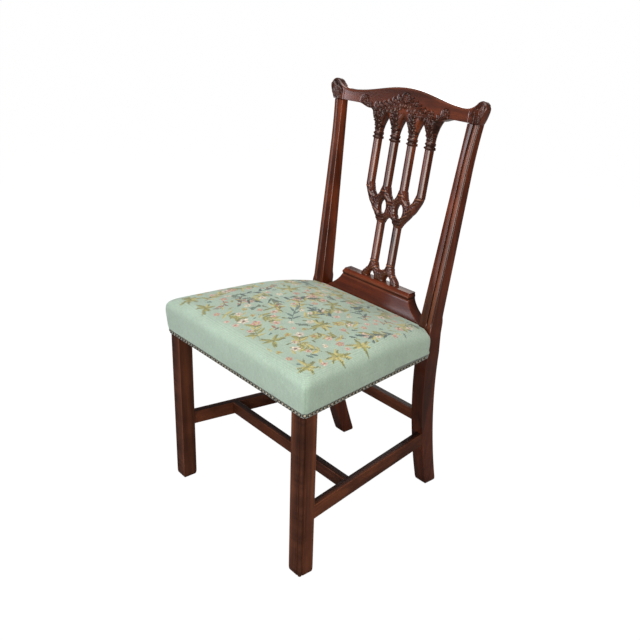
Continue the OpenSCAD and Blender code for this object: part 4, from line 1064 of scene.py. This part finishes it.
def seat_cover(pad):
    """Lays the canvas over the filled pad: a grid of stitches on top, and rows that roll over the edge
    and down to the nails."""
    surface = BVHTree.FromPolygons([v.co for v in pad.data.vertices], [p.vertices for p in pad.data.polygons])
    edge = np.array(seat_plan(-ROLL, IN_TOP, CORNER))
    xs, ys = np.arange(-264, 265, STITCH), np.arange(-8, 412, STITCH)
    x, y, quads, rim, (i, j) = fine_grid(lambda px, py: inside_polygon(edge, px, py), xs, ys, STITCH)
    verts, faces = [], [tuple(q) for q in quads]
    for px, py, high in zip(x, y, seat_top(x, y)):
        hit = surface.ray_cast(Vector(placed(px, py, 560)), Vector((0, 0, -1)))[0]
        verts.append((*placed(px, py, 0)[:2], max((RAIL_Z + high) / 1000, hit.z + 0.0013 if hit else 0)))
    uvs = [(verts[k][0] * 1000, verts[k][1] * 1000 - FIT) for q in quads for k in q]
    canvas, painted_shade = [np.stack([(xs[i] + xs[i + 1]) / 2, (ys[j] + ys[j + 1]) / 2], 1)], [np.ones(len(i))]
    after = {int(a): int(b) for a, b in rim}
    loop = [next(iter(after))]
    while after.get(loop[-1]) not in (None, loop[0]):
        loop.append(after[loop[-1]])
    n = len(loop)
    before = np.array([verts[k] for k in loop]) * 1000 - (0, FIT, 0)
    ring, tops = before[:, :2], before[:, 2]
    walked = np.concatenate([[0], np.cumsum(np.linalg.norm(np.diff(ring, axis=0), axis=1))])
    walked = np.append(walked, walked[-1] + STITCH)

    # where each boundary stitch lies along the outline, so that it can be followed out to the wider ones
    run = np.roll(edge, -1, axis=0) - edge
    share = np.clip(((ring[:, None] - edge) * run).sum(2) / np.maximum((run * run).sum(1), 1e-9), 0, 1)
    part = np.linalg.norm(ring[:, None] - edge - share[:, :, None] * run, axis=2).argmin(1)
    along = part + share[np.arange(n), part]

    def at_each(outline):
        """The place of each boundary stitch on a wider outline."""
        outline = np.array(outline)
        return outline[part] + (np.roll(outline, -1, axis=0)[part] - outline[part]) * (along - part)[:, None]

    mirrored = np.where(along > len(edge) / 2, len(edge) - along, along)
    at_back = mirrored > 3 * STEPS - 2 + 1.3
    low = np.where(at_back, RAIL_TOP + 0.8, RAIL_Z)
    seam = np.exp(-((mirrored - (1.5 * STEPS - 0.5)) / 1.1) ** 2)
    fall = tops - (RAIL_Z + seat_edge(ring[:, 1])) + DROP
    outward = at_each(seat_plan(BELLY, IN_LOW, CORNER)) - ring
    outward /= np.linalg.norm(outward, axis=1, keepdims=True)
    down, previous, soft = np.zeros(n), loop, len(verts)
    for f in (row / ROWS for row in range(1, ROWS + 1)):
        out, r, drop = seat_roll(f)
        drawn_in = IN_LOW + (IN_TOP - IN_LOW) * (1 - sin(min(1, f / 0.5) * pi / 2))
        place = at_each(seat_plan(out, drawn_in, r))
        rolled = tops - fall * drop
        level = np.where(at_back, low + (tops - low) * cos(f * pi / 2), rolled + (low - rolled) * max(0, 2 * f - 1))
        groove = seam * ramp(f, 0.3, 0.2)
        inward = np.array([0, MIDDLE]) - place
        place = place + inward * (groove * 0.9 / np.linalg.norm(inward, axis=1))[:, None]
        current = list(range(len(verts), len(verts) + n))
        verts += [placed(a, b, c) for (a, b), c in zip(place, level)]
        if f < 0.8:
            soft = len(verts)
        for k in range(n):
            k1 = (k + 1) % n
            faces.append((previous[k1], previous[k], current[k], current[k1]))
            near, far = walked[k], walked[k + 1]
            uvs += [(far, before[k1, 2]), (near, before[k, 2]), (near, level[k]), (far, level[k1])]
        here = np.column_stack([place, level])
        down = down + np.linalg.norm(here - before, axis=1)
        canvas.append(ring + outward * (down - 0.5 * STITCH)[:, None])
        # painted shade in the pleat at each front corner, and painted shadow in a band behind and between the nails
        painted_shade.append(0.98 * (1 - 0.22 * groove) * np.where(level < NAIL_Z + 4.5, 0.27, 1))
        previous, before = current, here
    colours = stitched(*np.concatenate(canvas).T) * np.concatenate(painted_shade)[:, None]
    mesh = bpy.data.meshes.new("seat_cover_shown")
    mesh.from_pydata(verts, [], faces)
    corners = np.repeat(np.concatenate([colours, np.ones((len(colours), 1))], 1), 4, axis=0)
    mesh.attributes.new("wool", "FLOAT_COLOR", "CORNER").data.foreach_set("color", corners.astype("f").ravel())
    mesh.uv_layers.new(name="canvas").data.foreach_set("uv", (np.array(uvs) / STITCH).astype("f").ravel())
    mesh.shade_smooth()
    mesh.materials.append(needlework())
    piece = new_object("seat_cover_shown", mesh)
    piece.vertex_groups.new(name="soft").add(list(range(soft)), 1, "REPLACE")
    modified(piece, "SMOOTH", iterations=22, vertex_group="soft")
    piece.vertex_groups.clear()
    modified(piece, "SOLIDIFY", thickness=0.0011, offset=-1)
    return piece


cover = seat_cover(pad)
seat_in(cover, "seat_cover")


# Nails
# Close rows of domed brass heads, antiqued dark and rubbed bright on their crowns, their lower sides painted dark
# for shade and dark reflection, driven through the bottom edge of the cover into the rails and round the front corners.
NAIL_R, PITCH, TILT, NAIL_TURN = 5.0, 10.8, 0.09, 8


def antique_brass():
    made, metal, add = new_finish("antique_brass")
    tarnish = add("TexNoise", {"Vector": add("TexCoord", out="Object"), "Scale": 260, "Detail": 4})
    bright = shades(tarnish, (0.30, (0.26, 0.21, 0.13)), (0.60, (0.92, 0.83, 0.65)))
    # the lower sides of each dome are painted dark, standing in for shade and dark reflection; the crown keeps the
    # brass
    crown = add("Attribute", out="Fac", attribute_name="crown")
    rim = add("MapRange", {"Value": crown, "From Min": 0.80, "From Max": 0.97})
    colour = add("Mix", {"Factor": rim, 6: (0.032, 0.023, 0.015, 1), 7: bright}, 2, data_type="RGBA")
    wire(metal, {"Base Color": colour, "Metallic": 0.6, "Roughness": 0.34})
    return made


def nail_tree(finish):
    """A node tree that sets one domed head on each point, turned to face outwards."""
    tree = bpy.data.node_groups.new("domed_nails", "GeometryNodeTree")
    for name, way, kind in (("Geometry", "INPUT", "Geometry"), ("Radius", "INPUT", "Float"), ("Seed", "INPUT", "Int"),
                            ("Geometry", "OUTPUT", "Geometry")):
        tree.interface.new_socket(name, in_out=way, socket_type="NodeSocket" + kind)
    add = adder(tree)
    points, radius, seed = add("NodeGroupInput").node.outputs[:3]
    dome = add("GeometryNodeMeshUVSphere", {"Segments": 12, "Rings": 7, "Radius": radius})
    height = add("SeparateXYZ", {0: add("GeometryNodeInputPosition")}, "Z")
    ratio = add("Math", {0: height, 1: radius}, operation="DIVIDE")
    marked = add("GeometryNodeStoreNamedAttribute", {"Geometry": dome, "Name": "crown", "Value": ratio})
    squat = add("GeometryNodeTransform", {"Geometry": marked, "Scale": (1, 1, 0.52)})
    head = add("GeometryNodeSetShadeSmooth", {"Geometry": squat})
    outward = add("GeometryNodeInputNamedAttribute", {"Name": "outward"}, "Attribute", data_type="FLOAT_VECTOR")
    tilt = add("FunctionNodeRandomValue", {0: (-TILT,) * 3, 1: (TILT,) * 3, "Seed": seed}, data_type="FLOAT_VECTOR")
    turn = add("FunctionNodeAlignRotationToVector", {"Vector": add("VectorMath", {0: outward, 1: tilt})}, axis="Z")
    row = add("GeometryNodeInstanceOnPoints", {"Points": points, "Instance": head, "Rotation": turn})
    real = add("GeometryNodeRealizeInstances", {0: row})
    coat = add("GeometryNodeSetMaterial", {"Geometry": real, "Material": finish})
    wire(tree.nodes.new("NodeGroupOutput"), {0: coat})
    return tree


def nail_rows():
    """Where the nails sit in plan and the way each one faces: the front row, then a side row with its corner nail."""
    cx = float(seat_side(NAIL_TURN)) - NAIL_TURN * SLANT
    count = int((cx - 2) // PITCH)
    front = [((cx - 2) / count * k, -HEM, 0, -1) for k in range(-count, count + 1)]
    way = (SPLAY - pi / 2) / 2
    far = NAIL_TURN + HEM
    side = [(cx + far * cos(way), NAIL_TURN + far * sin(way), cos(way), sin(way))]
    y = 10.0
    while y < 391:
        side.append((float(seat_side(y)) + HEM * SLANT, y, cos(SPLAY), sin(SPLAY)))
        y += PITCH * cos(SPLAY)
    return front, side


def nail_row(name, places, tree, node, seed):
    mesh = bpy.data.meshes.new(name)
    mesh.from_pydata([placed(x, y, NAIL_Z) for x, y, _, _ in places], [], [])
    facing = [c for _, _, a, b in places for c in (a, b, 0)]
    mesh.attributes.new("outward", "FLOAT_VECTOR", "POINT").data.foreach_set("vector", facing)
    points = new_object(name + "_points", mesh)
    maker = points.modifiers.new("nails", "NODES")
    maker.node_group = tree
    sockets = {s.name: s.identifier for s in tree.interface.items_tree if s.in_out == "INPUT"}
    maker[sockets["Radius"]] = NAIL_R / 1000
    maker[sockets["Seed"]] = seed
    bpy.context.view_layer.update()
    made = bpy.data.meshes.new_from_object(points.evaluated_get(bpy.context.evaluated_depsgraph_get()))
    made.name = name
    bpy.data.objects.remove(points)
    seat_in(new_object(name, made), node)


front_row, side_row = nail_rows()
nails = nail_tree(antique_brass())
nail_row("nails_front_shown", front_row, nails, "nails_front", 3)
nail_row("nails_left_shown", side_row, nails, "nails_left", 4)
nail_row("nails_right_shown", [(-x, y, -a, b) for x, y, a, b in side_row], nails, "nails_right", 6)


# Studio
# A pale floor and a white surround, a wide low window at the sitter's left, paler light from
# a wall and a doorway in front, a ceiling, a far wall, and the camera where the photographer stood.
def studio():
    made, ground, add = new_finish("studio_floor")
    wire(ground, {"Base Color": (0.2, 0.2, 0.2, 1), "Roughness": 0.9})
    part = add("Math", {0: add("LightPath", out="Is Camera Ray"), 1: 0.88}, operation="MULTIPLY")
    both = add("MixShader", {0: part, 1: ground.outputs[0], 2: add("Emission", {"Strength": 1.128})})
    wire(made.node_tree.nodes["Material Output"], {"Surface": both})
    mesh = bpy.data.meshes.new("floor")
    mesh.from_pydata([(-60, -60, 0), (60, -60, 0), (60, 60, 0), (-60, 60, 0)], [], [(0, 1, 2, 3)])
    mesh.materials.append(made)
    new_object("floor", mesh)
    world = bpy.data.worlds.new("surround")
    bpy.context.scene.world = world
    world.use_nodes = True
    add, dim = adder(world.node_tree), world.node_tree.nodes["Background"]
    wire(dim, {"Color": (0.93, 0.95, 1.0, 1), "Strength": 0.14})
    rays = add("LightPath").node.outputs
    clear = add("Math", {0: rays["Is Camera Ray"], 1: rays["Is Transmission Ray"]}, operation="MAXIMUM")
    seen = add("Math", {0: rays["Is Glossy Ray"], 1: 0.08, 2: clear}, operation="MULTIPLY_ADD")
    both = add("MixShader", {0: seen, 1: dim.outputs[0], 2: add("Background", {"Color": (1, 1, 1, 1)})})
    wire(world.node_tree.nodes["World Output"], {"Surface": both})


def lamp(name, place, target, size, power, colour):
    light = bpy.data.lights.new(name, "AREA")
    light.shape, light.size, light.size_y, light.energy, light.color = "RECTANGLE", *size, power, colour
    holder = new_object(name, light)
    holder.location = place
    holder.rotation_euler = (Vector(target) - Vector(place)).to_track_quat("-Z", "Y").to_euler()


def photographer():
    """The camera that was fitted to the chair's corners in the photo."""
    yaw, pitch, roll = (radians(a) for a in (49.597, -22.957, 1.846))
    away = Vector((-sin(yaw) * cos(pitch), cos(yaw) * cos(pitch), sin(pitch)))
    right = Vector((cos(yaw), sin(yaw), 0))
    up = right.cross(away)
    right, up = cos(roll) * right + sin(roll) * up, -sin(roll) * right + cos(roll) * up
    data = bpy.data.cameras.new("photo_view")
    data.lens, data.sensor_width = 799.7 / 640 * 36, 36
    camera = new_object("photo_view", data)
    place = Matrix.Translation((1.3113, -0.8636 + FRONT, 1.1828))
    camera.matrix_world = place @ Matrix((right, up, -away)).transposed().to_4x4()
    bpy.context.scene.camera = camera


studio()
lamp("window", (2.45, -1.9, 0.67), (0, 0, 0.6), (3.2, 1.3), 87, (1.0, 0.965, 0.89))
lamp("pale_wall", (-0.47, -2.4, 0.87), (-0.47, 0, 0.87), (2.85, 1.25), 19, (0.84, 0.9, 1.0))
lamp("doorway", (-1.62, -2.36, 1.25), (-0.2, 0, 0.94), (0.5, 0.6), 4.5, (0.85, 0.9, 1.0))
lamp("ceiling", (0.2, -0.5, 2.9), (0, 0, 0.4), (2.4, 2.4), 78, (1.0, 0.93, 0.89))
lamp("far_wall", (-1.3, 2.9, 1.3), (0, 0, 0.6), (2.4, 1.8), 42, (1.0, 0.97, 0.94))
photographer()
bpy.context.scene.view_settings.view_transform = "Standard"
